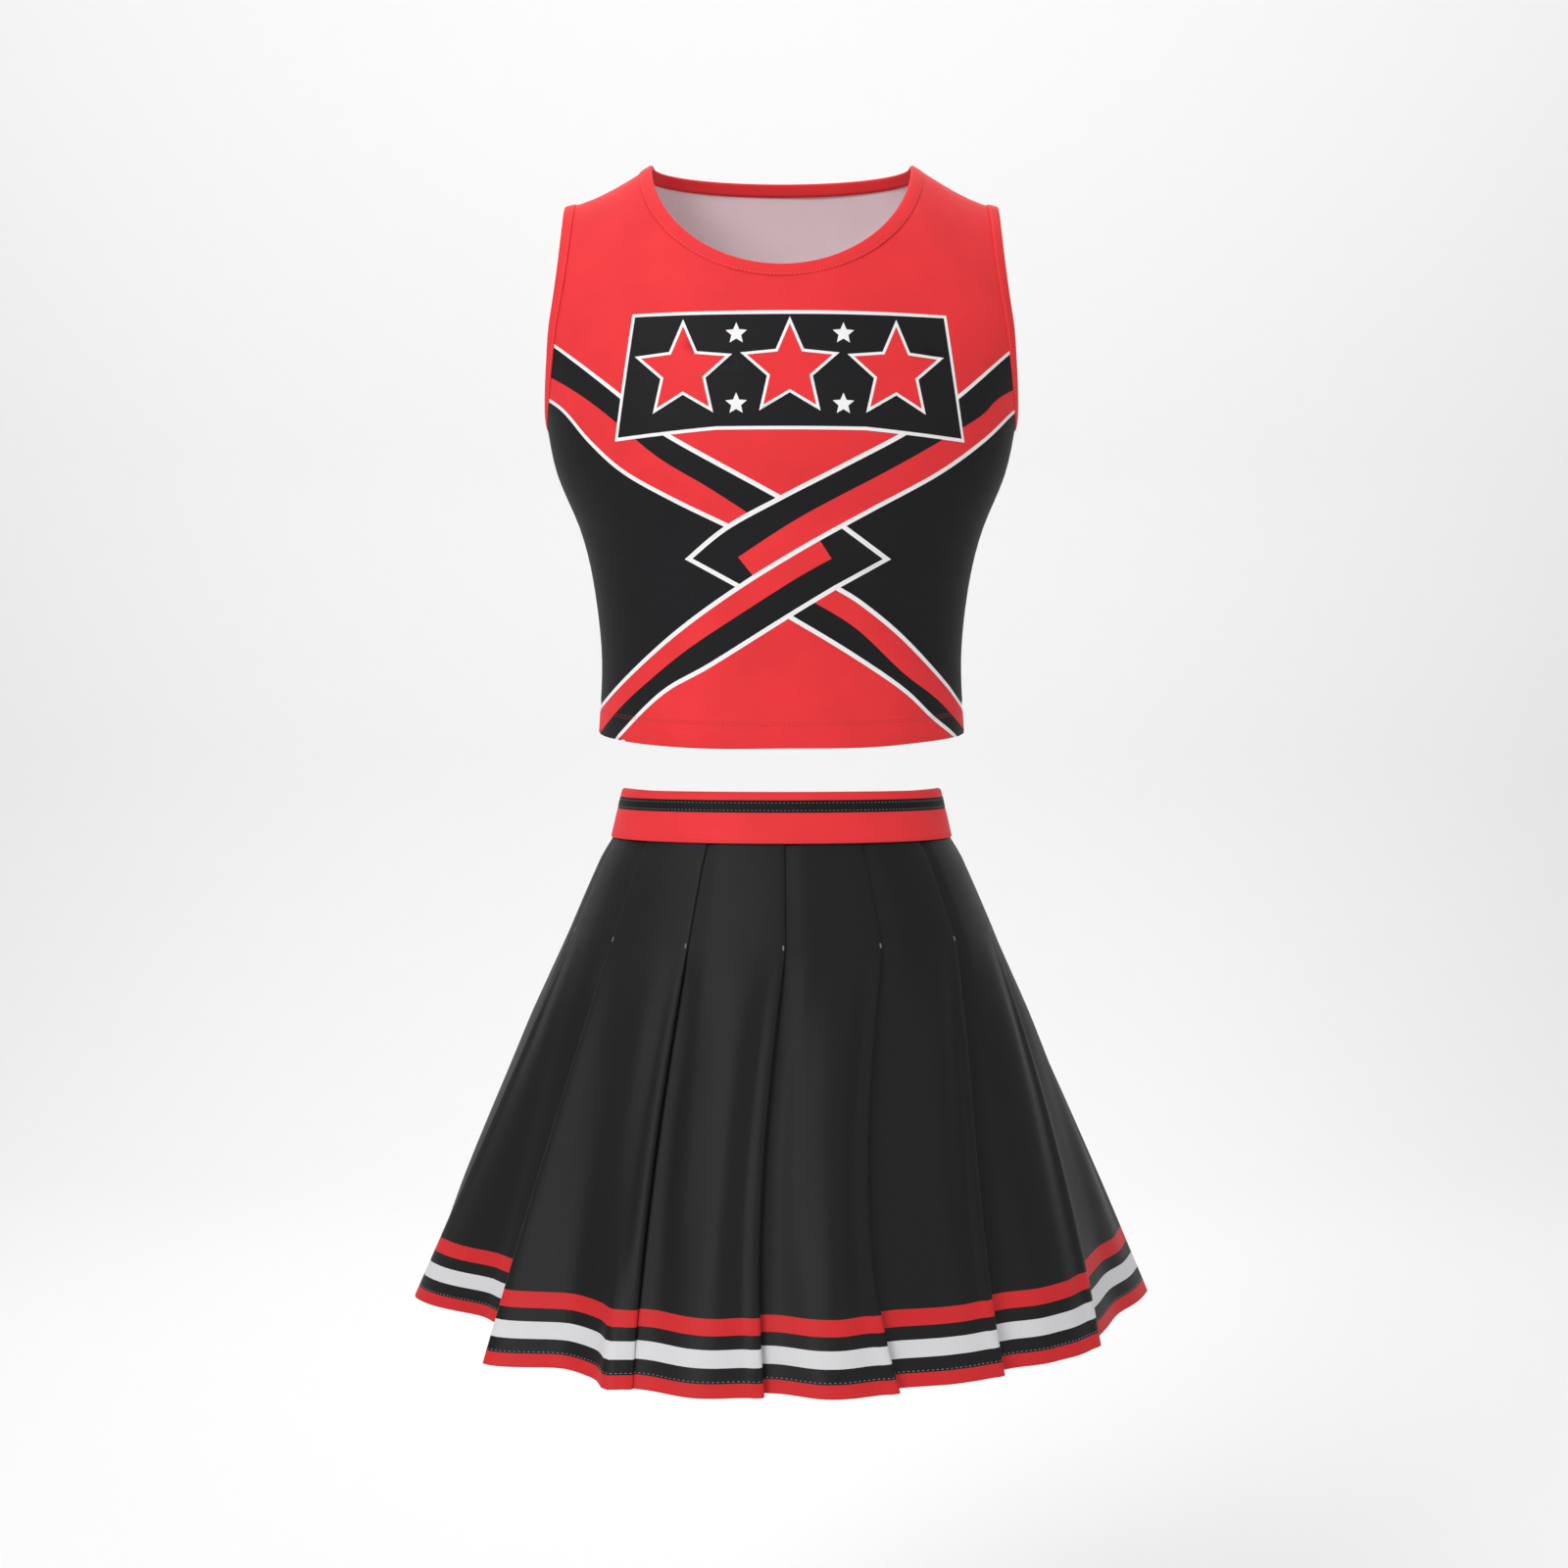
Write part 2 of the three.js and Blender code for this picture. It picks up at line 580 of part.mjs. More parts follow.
function solidOf(mesh) {
  mesh.updateMatrix();
  const bare = mesh.geometry.clone().applyMatrix4(mesh.matrix);
  bare.deleteAttribute('normal');
  bare.deleteAttribute('uv');
  const merged = mergeVertices(bare, 1e-4);
  return new wasm.Manifold(new wasm.Mesh({
    numProp: 3,
    vertProperties: new Float32Array(merged.attributes.position.array),
    triVerts: new Uint32Array(merged.index.array),
  }));
}

// Joins overlapping meshes into one closed body.
function joined(name, material, meshes) {
  const whole = meshes.map(solidOf).reduce((sum, next) => sum.add(next));
  const { vertProperties, triVerts } = whole.getMesh();
  const geometry = new THREE.BufferGeometry();
  geometry.setAttribute('position', new THREE.BufferAttribute(vertProperties, 3));
  geometry.setIndex(new THREE.BufferAttribute(triVerts, 1));
  geometry.computeVertexNormals();
  const mesh = new THREE.Mesh(geometry, material);
  mesh.name = name;
  return mesh;
}

function block(name, material, low, high) {
  const size = high.map((value, i) => value - low[i]);
  const mesh = new THREE.Mesh(new THREE.BoxGeometry(...size), material);
  mesh.position.set(...low.map((value, i) => value + size[i] / 2));
  mesh.name = name;
  return mesh;
}

function extrusion(outline, hole, depth) {
  const shape = new THREE.Shape(outline.map(([a, b]) => new THREE.Vector2(a, b)));
  if (hole) {
    shape.holes.push(new THREE.Path(hole.map(([a, b]) => new THREE.Vector2(a, b))));
  }
  return new THREE.ExtrudeGeometry(shape, { depth, bevelEnabled: false });
}

// A plate whose outline is drawn in x and z; its face is at y = outer.
function plate(name, material, { outline, hole, outer, thickness }) {
  const mesh = new THREE.Mesh(extrusion(outline, hole, thickness), material);
  mesh.rotation.x = Math.PI / 2;
  mesh.position.y = outer;
  mesh.name = name;
  return mesh;
}

// A web whose outline is drawn in z and y; it spans x = low to x = high.
function web(name, material, { outline, hole, low, high }) {
  const mesh = new THREE.Mesh(extrusion(outline, hole, high - low), material);
  mesh.rotation.y = -Math.PI / 2;
  mesh.position.x = high;
  mesh.name = name;
  return mesh;
}

const rectangle = (a0, b0, a1, b1) => [[a0, b0], [a1, b0], [a1, b1], [a0, b1]];

// A tape is narrow between the waistband's ends and wide behind the yoke.
function zipTape(name, hand) {
  const step = -BAND_ON_SLOPE - 2;
  const top = CHAIN_TOP + 2;
  const outline = [[TAPE_INNER_EDGE, TAPE_BOTTOM], [TAPE_OUTER_EDGE, TAPE_BOTTOM],
    [TAPE_OUTER_EDGE, step], [TAPE_EDGE_IN_BAND, step], [TAPE_EDGE_IN_BAND, top],
    [TAPE_INNER_EDGE, top]];
  const sided = outline.map(([x, z]) => [x * hand, z]);
  return plate(name, cloth(BLACK), { outline: sided, outer: TAPE_FACE, thickness: TAPE_THICKNESS });
}

// A block as wide as one coil, on one side of the zip.
function coilBlock(name, material, hand, from, to) {
  const low = hand > 0 ? COIL_GAP / 2 : -COIL_GAP / 2 - COIL_WIDTH;
  return block(name, material, [low, COIL_BACK, from], [low + COIL_WIDTH, COIL_FRONT, to]);
}

function zipCoil(name, hand) {
  const top = CHAIN_TOP - TOP_STOP_LENGTH - SEAM_GAP;
  return coilBlock(name, cloth(BLACK), hand, CHAIN_BOTTOM, top);
}

function zipTopStop(name, hand) {
  return coilBlock(name, metal(STEEL), hand, CHAIN_TOP - TOP_STOP_LENGTH, CHAIN_TOP);
}

function zipBottomStop() {
  const half = COIL_GAP / 2 + COIL_WIDTH;
  const top = CHAIN_BOTTOM - SEAM_GAP;
  const low = [-half, COIL_BACK, top - BOTTOM_STOP_LENGTH];
  return block('zip_bottom_stop', metal(STEEL), low, [half, COIL_FRONT, top]);
}

// A front plate and a back plate on a post that runs between the coils, and a bridge for the tab.
function zipSlider() {
  const steel = metal(STEEL);
  const side = ({ half, length, face }, drop) => plate('', steel, {
    outline: rectangle(-half, SLIDER_TOP - drop - length, half, SLIDER_TOP - drop),
    outer: face,
    thickness: SLIDER_PLATE,
  });
  const bridge = {
    outline: rectangle(SLIDER_TOP - 8, 1.0, SLIDER_TOP - 1, 4.6),
    hole: rectangle(SLIDER_TOP - 7, 1.4, SLIDER_TOP - 2, 3.6),
    low: -1,
    high: 1,
  };
  return joined('zip_slider', steel, [
    side(SLIDER_FRONT, 0),
    side(SLIDER_BACK, 1),
    block('', steel, [-0.5, -4.6, SLIDER_TOP - 6], [0.5, 1, SLIDER_TOP - 3]),
    web('', steel, bridge),
  ]);
}

// The tab's crossbar turns in the slider's bridge; the tab hangs over the front of the zip.
function zipPullTab() {
  const top = TAB_PIVOT.z + TAB_THICKNESS / 2;
  const right = [[2.4, top - TAB_LENGTH], [3.4, top - 22], [2.6, top - 8], [2.6, top]];
  const left = right.map(([x, z]) => [-x, z]).reverse();
  const hole = rectangle(-1.5, top - 5, 1.5, top - 1);
  const outer = TAB_PIVOT.y + TAB_THICKNESS / 2;
  const tab = { outline: [...left, ...right], hole, outer, thickness: TAB_THICKNESS };
  return plate('zip_pull_tab', metal(STEEL), tab);
}

// The hook's tongue passes inside the bar and its lip drops beyond it.
function waistHook() {
  const outline = [[-15, -5], [-15, -5.8], [-3, -5.8], [-1, -8.4], [11, -8.4], [11, -6.3],
    [10.2, -6.3], [10.2, -7.6], [-0.6, -7.6], [-2.6, -5]];
  const mesh = new THREE.Mesh(extrusion(outline, null, 5), metal(STEEL));
  mesh.position.z = -9;
  mesh.name = 'waist_hook';
  return mesh;
}

function waistBar() {
  const bar = {
    outline: rectangle(-11, -7.3, -2, -5),
    hole: rectangle(-10, -6.6, -3, -5.8),
    low: 7,
    high: 9,
  };
  return web('waist_bar', metal(STEEL), bar);
}

// ---------------------------------------------------------------- the whole uniform

const uniform = new THREE.Group();
uniform.add(
  topPanel('top_front_panel', -1),
  topPanel('top_back_panel', 1),
  neckBinding(),
  armholeBinding('armhole_binding_left', 1),
  armholeBinding('armhole_binding_right', -1),
  hemTurnUp(),
  shoulderTape('shoulder_stay_tape_left', 1),
  shoulderTape('shoulder_stay_tape_right', -1),
);
WAIST_PIECES.forEach((piece) => {
  uniform.add(waistband(piece), interlining(piece), yoke(piece));
});
for (let number = 1; number <= PLEATS; number += 1) {
  uniform.add(pleat(number - 7, number));
}

const closure = new THREE.Group();
closure.rotation.x = radians(ZIP_SLOPE);
closure.position.set(0, WAIST_HALF_DEPTH + Math.tan(radians(ZIP_SLOPE)) * BACK_WAIST_DIP,
  -BACK_WAIST_DIP);
closure.add(
  zipTape('zip_tape_left', 1),
  zipTape('zip_tape_right', -1),
  zipCoil('zip_coil_left', 1),
  zipCoil('zip_coil_right', -1),
  zipTopStop('zip_top_stop_left', 1),
  zipTopStop('zip_top_stop_right', -1),
  zipBottomStop(),
  zipSlider(),
  zipPullTab(),
  waistHook(),
  waistBar(),
);
uniform.add(closure);

export default uniform;
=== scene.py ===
"""Cheer uniform: the looks of a printed knit crop top and a pleated skirt with a striped hem.

Metres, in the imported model's frame: +Z is up, the wearer faces -Y and the wearer's left is +X.
The origin is the centre of the top edge of the waistband. Angles passed between functions are
in degrees.
"""

import math

import bpy
import numpy as np
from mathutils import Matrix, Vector, noise
from mathutils.geometry import delaunay_2d_cdt


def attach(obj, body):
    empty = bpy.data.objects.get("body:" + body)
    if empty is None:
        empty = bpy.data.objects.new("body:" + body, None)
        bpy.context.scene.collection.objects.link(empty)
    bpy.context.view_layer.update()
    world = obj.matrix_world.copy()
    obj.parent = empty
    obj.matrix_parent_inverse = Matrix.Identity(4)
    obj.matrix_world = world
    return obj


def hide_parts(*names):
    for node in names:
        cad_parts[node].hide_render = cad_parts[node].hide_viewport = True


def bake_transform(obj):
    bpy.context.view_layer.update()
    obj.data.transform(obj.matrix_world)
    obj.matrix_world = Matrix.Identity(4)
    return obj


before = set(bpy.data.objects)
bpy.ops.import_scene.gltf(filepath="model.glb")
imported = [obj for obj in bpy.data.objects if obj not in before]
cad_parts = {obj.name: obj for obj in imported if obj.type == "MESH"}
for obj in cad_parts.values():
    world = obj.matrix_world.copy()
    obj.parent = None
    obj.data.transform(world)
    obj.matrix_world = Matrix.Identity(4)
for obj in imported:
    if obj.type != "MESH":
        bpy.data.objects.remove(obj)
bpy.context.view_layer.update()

# ---- the forms the cloth lies on

SEAM_GAP = 0.0003
TORSO_HALF_WIDTH = [(0.033, 0.140), (0.098, 0.137), (0.154, 0.143), (0.195, 0.1526), (0.239, 0.170),
                    (0.280, 0.178), (0.316, 0.1853), (0.350, 0.190), (0.510, 0.190)]
FRONT_DEPTH = [(0.033, 0.098), (0.098, 0.096), (0.180, 0.103), (0.245, 0.110), (0.320, 0.106),
               (0.510, 0.100)]
BACK_DEPTH = [(0.033, 0.095), (0.098, 0.090), (0.180, 0.092), (0.260, 0.096), (0.340, 0.098),
              (0.510, 0.095)]
SHOULDER_ROUNDING = 2.2
SHOULDER_FORWARD = 0.005
HEM_HEIGHT = 0.043
HEM_DIP = 0.008
ARMPIT_HEIGHT = 0.280
NECK_X, NECK_Z = 0.097, 0.469
TIP_X, TIP_Z = 0.1624, 0.4385
SHOULDER_HOLLOW = 1.45
FRONT_NECK_DROP = 0.088
BACK_NECK_DROP = 0.002
BINDING_WIDTH = 0.0086
ARMHOLE_SWEEP = 31.5
ARMHOLE_BINDING_SWEEP = 4.3

WAIST_HALF_WIDTH = 0.122
WAIST_HALF_DEPTH = 0.090
BAND_HEIGHT = 0.036
BAND_FLARE = 0.236
FRONT_WAIST_RISE = 0.0035
BACK_WAIST_DIP = 0.012
SKIRT_HALF_WIDTH = [(-0.387, 0.277), (-0.121, 0.1678), (-0.052, 0.1378), (-0.038, 0.1295),
                    (-0.028, 0.1272)]
SKIRT_HALF_DEPTH = [(-0.387, 0.247), (-0.121, 0.1327), (-0.052, 0.1076), (-0.038, 0.1024),
                    (-0.028, 0.0988), (-0.018, 0.0952)]
YOKE_SHOULDER = -0.038
RELEASE_HEIGHT = -0.106
HEM_LEVEL = -0.387
PLEATS = 14
PLEAT_PITCH = 360 / PLEATS
FIRST_FOLD = 1
ZIP_SLOPE = 20
ZIP_HALF_OPENING = 0.004
ZIP_FOOT = -0.102


def lerp(a, b, t):
    return a + (b - a) * t


def clamp(value, low=0.0, high=1.0):
    return min(max(value, low), high)


def smoothstep(value, low=0.0, high=1.0):
    t = clamp((value - low) / (high - low))
    return t * t * (3 - 2 * t)


def sine(angle):
    return math.sin(math.radians(angle))


def cosine(angle):
    return math.cos(math.radians(angle))


def through(points, at):
    """A smooth curve through (position, value) pairs: cubic pieces with averaged slopes."""
    last = len(points) - 1

    def slope(i):
        a = points[max(i - 1, 0)]
        b = points[min(i + 1, last)]
        return (b[1] - a[1]) / (b[0] - a[0])

    i = 0
    while i < last - 1 and at > points[i + 1][0]:
        i += 1
    span = points[i + 1][0] - points[i][0]
    t = clamp((at - points[i][0]) / span)
    t2 = t * t
    t3 = t2 * t
    ends = (2 * t3 - 3 * t2 + 1) * points[i][1] + (3 * t2 - 2 * t3) * points[i + 1][1]
    return ends + span * ((t3 - 2 * t2 + t) * slope(i) + (t3 - t2) * slope(i + 1))


def shoulder_height(x):
    span = TIP_X - NECK_X
    drop = NECK_Z - TIP_Z
    out = abs(x)
    if out < NECK_X:
        slope = SHOULDER_HOLLOW * drop / span
        return NECK_Z + 0.5 * slope * NECK_X * (1 - (out / NECK_X) ** 2)
    left = max(1 - (out - NECK_X) / span, 0)
    return TIP_Z + drop * left ** SHOULDER_HOLLOW


def torso_half_width(z):
    return through(TORSO_HALF_WIDTH, z)


def torso(angle, z, side):
    """A point of the torso form; side is -1 in front and +1 behind."""
    x = torso_half_width(z) * sine(angle)
    depth = through(FRONT_DEPTH if side < 0 else BACK_DEPTH, z) * cosine(angle)
    rise = clamp((z - ARMPIT_HEIGHT) / (shoulder_height(x) - ARMPIT_HEIGHT))
    closing = (1 - rise ** SHOULDER_ROUNDING) ** (1 / SHOULDER_ROUNDING)
    y = side * (depth * closing + SEAM_GAP) + SHOULDER_FORWARD * rise ** 2
    return Vector((x, y, z))


def torso_outward(angle, z, side):
    across = torso(angle + 0.1, z, side) - torso(angle - 0.1, z, side)
    return across.cross(Vector((0, 0, 1))).normalized() * -side


def armhole_bottom(ring):
    return ARMPIT_HEIGHT - BINDING_WIDTH * ring


def armhole_tip_height(ring):
    sweep = ARMHOLE_SWEEP + ARMHOLE_BINDING_SWEEP * ring
    return shoulder_height(torso_half_width(TIP_Z) * cosine(sweep))


def armhole_angle(z, ring):
    low = armhole_bottom(ring)
    rise = clamp((z - low) / (armhole_tip_height(ring) - low))
    sweep = ARMHOLE_SWEEP + ARMHOLE_BINDING_SWEEP * ring
    return 90 - sweep * math.sqrt(1 - (1 - rise) ** 2)


def neck_edge(x, side, ring):
    half = NECK_X + BINDING_WIDTH * ring
    end = shoulder_height(half)
    drop = FRONT_NECK_DROP if side < 0 else BACK_NECK_DROP
    bottom = NECK_Z - drop - BINDING_WIDTH * ring
    return end - (end - bottom) * math.sqrt(max(1 - (x / half) ** 2, 0))


def hem_height(angle, side):
    return HEM_HEIGHT - (HEM_DIP * cosine(angle) if side < 0 else 0)


def waist_rise(angle):
    """How far the waist's edge lies above its height at the sides."""
    forward = cosine(angle)
    height = FRONT_WAIST_RISE if forward > 0 else -BACK_WAIST_DIP
    return height * abs(forward) ** 1.2


def on_ellipse(half_width, half_depth, angle, out, z):
    normal = Vector((sine(angle) / half_width, -cosine(angle) / half_depth, 0)).normalized()
    return Vector((half_width * sine(angle), -half_depth * cosine(angle), z)) + normal * out


def band_point(angle, z, out):
    low = z + waist_rise(angle)
    half_depth = WAIST_HALF_DEPTH - math.tan(math.radians(ZIP_SLOPE)) * low
    return on_ellipse(WAIST_HALF_WIDTH - BAND_FLARE * z, half_depth, angle, out, low)


def cone_point(angle, z, out, drop=0.0):
    half_depth = through(SKIRT_HALF_DEPTH, z + drop)
    return on_ellipse(through(SKIRT_HALF_WIDTH, z), half_depth, angle, out, z + drop)


def zip_edge(half_width):
    return 180 - math.degrees(math.asin(ZIP_HALF_OPENING / half_width))


# ---- materials

RED = (0.80, 0.036, 0.042)
DEEP_RED = (0.61, 0.022, 0.026)
BLACK = (0.0065, 0.0065, 0.007)
PRINT_BLACK = (0.0095, 0.0090, 0.0105)
WHITE = (0.88, 0.88, 0.88)
GREY_WHITE = (0.66, 0.66, 0.68)
REVERSE = (0.80, 0.66, 0.69)
# Pale pink binding thread. The stitches are real, but their colour, lighter than the cloth, is a
# painted highlight along the bindings' seams.
SEAM_HIGHLIGHT_PINK = (0.90, 0.20, 0.21)
THREAD_GREY = (0.30, 0.30, 0.32)
NYLON = (0.018, 0.018, 0.020)
NYLON_LIT = (0.035, 0.035, 0.038)
NICKEL = (0.66, 0.66, 0.68)
TARNISH = (0.50, 0.50, 0.51)


class Nodes:
    """A material's node tree, with short calls for the nodes that the fabrics share."""

    def __init__(self, name):
        self.material = bpy.data.materials.new(name)
        self.material.use_nodes = True
        self.tree = self.material.node_tree
        self.shader = self.tree.nodes["Principled BSDF"]

    def add(self, kind, settings=(), **inputs):
        node = self.tree.nodes.new(kind)
        for key, value in dict(settings).items():
            setattr(node, key, value)
        self.fill(node, inputs)
        return node

    def fill(self, node, inputs):
        """Links or sets inputs of a node, by number or by name with _ for a space."""
        for key, value in inputs.items():
            socket = node.inputs[key if isinstance(key, int) else key.replace("_", " ")]
            if isinstance(value, bpy.types.NodeSocket):
                self.tree.links.new(value, socket)
            else:
                socket.default_value = value

    def finish(self, **inputs):
        """Fills the shader's inputs and gives the material."""
        self.fill(self.shader, inputs)
        return self.material

    def place(self):
        return self.add("ShaderNodeTexCoord").outputs["Object"]

    def maths(self, operation, a, b):
        node = self.add("ShaderNodeMath", {"operation": operation})
        self.fill(node, {0: a, 1: b})
        return node.outputs[0]

    def scaled(self, value, factor, base):
        return self.maths("ADD", self.maths("MULTIPLY", value, factor), base)

    def mix(self, factor, a, b):
        node = self.add("ShaderNodeMix", {"data_type": "RGBA"})
        self.fill(node, {0: factor, 6: a, 7: b})
        return node.outputs[2]

    def bump(self, height, strength, distance):
        node = self.add("ShaderNodeBump", Strength=strength, Distance=distance, Height=height)
        return node.outputs[0]

    def waves(self, vector, pitch, turn):
        """Parallel ridges across the vector's x, one every pitch metres, turned by an angle."""
        turned = self.add("ShaderNodeMapping", Vector=vector, Rotation=(0, 0, math.radians(turn)))
        # A wave texture of scale 1 has a ridge every pi / 10 units.
        scale = math.pi / 10 / pitch
        wave = self.add("ShaderNodeTexWave", Vector=turned.outputs[0], Scale=scale)
        return wave.outputs["Fac"]

    def spots(self, vector, size, detail):
        texture = self.add("ShaderNodeTexNoise", Vector=vector, Scale=1 / size, Detail=detail)
        return texture.outputs["Fac"]


def shade(colour, factor=1.0):
    """An opaque colour, made darker or lighter."""
    return tuple(min(c * factor, 1) for c in colour) + (1,)


def fabric(name, colour, weave, roughness=0.66, gloss=0.16, variation=0.10):
    """weave lists (pitch, turn) pairs of ridges; their product is the cloth's relief."""
    nodes = Nodes(name)
    cloth = nodes.add("ShaderNodeUVMap", {"uv_map": "Cloth"}).outputs[0]
    height = nodes.waves(cloth, *weave[0])
    for pitch, turn in weave[1:]:
        height = nodes.maths("MULTIPLY", height, nodes.waves(cloth, pitch, turn))
    slub = nodes.spots(cloth, 0.0011, 3.0)
    drift = nodes.spots(nodes.place(), 0.045, 2.0)
    height = nodes.scaled(slub, 0.35, height)
    lit = shade(colour, 1 + variation)
    tone = nodes.mix(drift, shade(colour, 1 - variation), lit)
    # Lighter where the relief is higher. On the slubs this is the yarn's own speckled tone; on the
    # weave's ridges it is a painted highlight.
    highlit_tone = nodes.mix(nodes.maths("MULTIPLY", height, 0.10), tone, lit)
    return nodes.finish(Base_Color=highlit_tone, Roughness=nodes.scaled(slub, 0.12, roughness - 0.06),
                        Normal=nodes.bump(height, 0.55, 0.00012), Sheen_Weight=0.04,
                        Sheen_Roughness=0.45, Specular_IOR_Level=gloss)


def thread(name, colour):
    """Twisted sewing thread, with painted shade in the grooves of its twist."""
    nodes = Nodes(name)
    twist = nodes.waves(nodes.place(), 0.0004, 35)
    # Darker where the twist's relief is low: painted shade in the grooves between the plies.
    tone = nodes.mix(twist, shade(colour, 0.75), shade(colour))
    return nodes.finish(Base_Color=tone, Normal=nodes.bump(twist, 0.5, 0.0001), Roughness=0.55,
                        Sheen_Weight=0.2)


def steel(name):
    """Brushed nickel-plated steel with a little tarnish."""
    nodes = Nodes(name)
    place = nodes.place()
    stretched = nodes.add("ShaderNodeMapping", Vector=place, Scale=(1, 1, 0.04)).outputs[0]
    brushed = nodes.spots(stretched, 0.0004, 4.0)
    tone = nodes.mix(nodes.spots(place, 0.003, 3.0), shade(TARNISH), shade(NICKEL))
    return nodes.finish(Base_Color=tone, Metallic=1.0, Roughness=nodes.scaled(brushed, 0.25, 0.20),
                        Normal=nodes.bump(brushed, 0.25, 0.00005))


def nylon(name):
    nodes = Nodes(name)
    grain = nodes.spots(nodes.place(), 0.0006, 3.0)
    tone = nodes.mix(grain, shade(NYLON, 0.8), shade(NYLON_LIT))
    return nodes.finish(Base_Color=tone, Roughness=nodes.scaled(grain, 0.2, 0.3))


def paper(name):
    """The studio's seamless paper."""
    nodes = Nodes(name)
    grain = nodes.spots(nodes.place(), 0.002, 2.0)
    tone = nodes.mix(grain, shade(WHITE, 0.985), shade(WHITE))
    return nodes.finish(Base_Color=tone, Roughness=0.9)


JERSEY = [(0.0009, 0), (0.0012, 90)]
RIB = [(0.0011, 0), (0.0016, 90)]
CROSS_RIB = [(0.0011, 90), (0.0016, 0)]
TWILL = [(0.0008, 60)]
PLAIN = [(0.0006, 0), (0.0006, 90)]

KNIT_RED = fabric("knit_red", RED, JERSEY, variation=0.14)
KNIT_BLACK = fabric("knit_black", PRINT_BLACK, JERSEY)
KNIT_WHITE = fabric("knit_white", WHITE, JERSEY, variation=0.04)
KNIT_REVERSE = fabric("knit_reverse", REVERSE, JERSEY, roughness=0.75, variation=0.05)
BINDING_RED = fabric("binding_red", RED, RIB, variation=0.12)
BAND_RED = fabric("band_red", RED, CROSS_RIB)
BAND_BLACK = fabric("band_black", BLACK, CROSS_RIB)
SKIRT_BLACK = fabric("skirt_black", BLACK, TWILL, roughness=0.48, gloss=0.20, variation=0.14)
STRIPE_RED = fabric("stripe_red", DEEP_RED, CROSS_RIB, roughness=0.55)
STRIPE_WHITE = fabric("stripe_white", GREY_WHITE, CROSS_RIB, roughness=0.55, variation=0.05)
TAPE_WHITE = fabric("tape_white", WHITE, PLAIN, variation=0.04)
TAPE_BLACK = fabric("tape_black", BLACK, PLAIN)
# The binding stitches' thread: its pale pink is a painted highlight along the seams.
SEAM_HIGHLIGHT_THREAD = thread("seam_highlight_thread", SEAM_HIGHLIGHT_PINK)
RED_THREAD = thread("red_thread", DEEP_RED)
GREY_THREAD = thread("grey_thread", THREAD_GREY)
STEEL = steel("closure_steel")
COIL_NYLON = nylon("coil_nylon")
STUDIO_PAPER = paper("studio_paper")


# ---- building cloth

def evenly(start, end, count):
    """The ends of count equal steps from start to end."""
    return [lerp(start, end, i / count) for i in range(count + 1)]


def grid_of(rows, columns, place):
    """The points place(row, column)."""
    return np.array([[tuple(place(row, column)) for column in columns] for row in rows])


def make(name, points, faces, slots, materials, cloth=None):
    """A mesh object. slots gives each face's material, and cloth each point's place in metres."""
    mesh = bpy.data.meshes.new(name)
    mesh.from_pydata([tuple(p) for p in points], [], faces)
    for material in materials:
        mesh.materials.append(material)
    mesh.polygons.foreach_set("material_index", slots)
    mesh.polygons.foreach_set("use_smooth", [True] * len(faces))
    layer = mesh.uv_layers.new(name="Cloth")
    flat = np.array(cloth if cloth is not None else [(p[0], p[2]) for p in points], float)
    corners = np.empty(len(mesh.loops), int)
    mesh.loops.foreach_get("vertex_index", corners)
    layer.data.foreach_set("uv", flat[corners].ravel())
    mesh.update()
    piece = bpy.data.objects.new(name, mesh)
    bpy.context.scene.collection.objects.link(piece)
    return piece


def spans(points, axis):
    """How far each point lies along the cloth, measured on the grid's middle line."""
    steps = np.linalg.norm(np.diff(points, axis=axis), axis=2)
    middle = np.take(steps, steps.shape[1 - axis] // 2, axis=1 - axis)
    return np.concatenate([[0], np.cumsum(middle)])


def shell(points, thickness):
    """Both faces of a grid of mid-surface points, and each point's place on the flat cloth."""
    along = np.gradient(points, axis=1)
    up = np.gradient(points, axis=0)
    normal = np.cross(along, up)
    normal /= np.maximum(np.linalg.norm(normal, axis=2, keepdims=True), 1e-12)
    outer = points + normal * thickness / 2
    inner = points - normal * thickness / 2
    vertices = np.concatenate([outer.reshape(-1, 3), inner.reshape(-1, 3)])
    v, u = np.meshgrid(spans(points, 0), spans(points, 1), indexing="ij")
    flat = np.stack([u.ravel(), v.ravel()], axis=1)
    return vertices, np.concatenate([flat, flat])


def closed_sheet(points, thickness, row_slots):
    """A closed sheet: its points, faces, each face's material and each point's place on the flat.
    row_slots gives the material of each row of faces."""
    vertices, flat = shell(points, thickness)
    rows, columns = points.shape[:2]
    half = rows * columns
    faces = []
    slots = []

    def put(quad, row):
        faces.append(quad)
        slots.append(row_slots[row])

    for r in range(rows - 1):
        for c in range(columns - 1):
            a = r * columns + c
            quad = (a, a + 1, a + columns + 1, a + columns)
            put(quad, r)
            put(tuple(half + i for i in reversed(quad)), r)
    for c in range(columns - 1):
        top = (rows - 1) * columns + c
        put((c + 1, c, half + c, half + c + 1), 0)
        put((top, top + 1, half + top + 1, half + top), rows - 2)
    for r in range(rows - 1):
        a = r * columns
        b = a + columns - 1
        put((a, a + columns, half + a + columns, half + a), r)
        put((b + columns, b, half + b, half + b + columns), r)
    return vertices, faces, slots, flat


def cloth_piece(name, points, thickness, materials, row_slots=None):
    """The object of a closed sheet. Without row_slots it is all of the first material."""
    sheet = closed_sheet(points, thickness, row_slots or [0] * (len(points) - 1))
    vertices, faces, slots, flat = sheet
    return make(name, vertices, faces, slots, materials, flat)


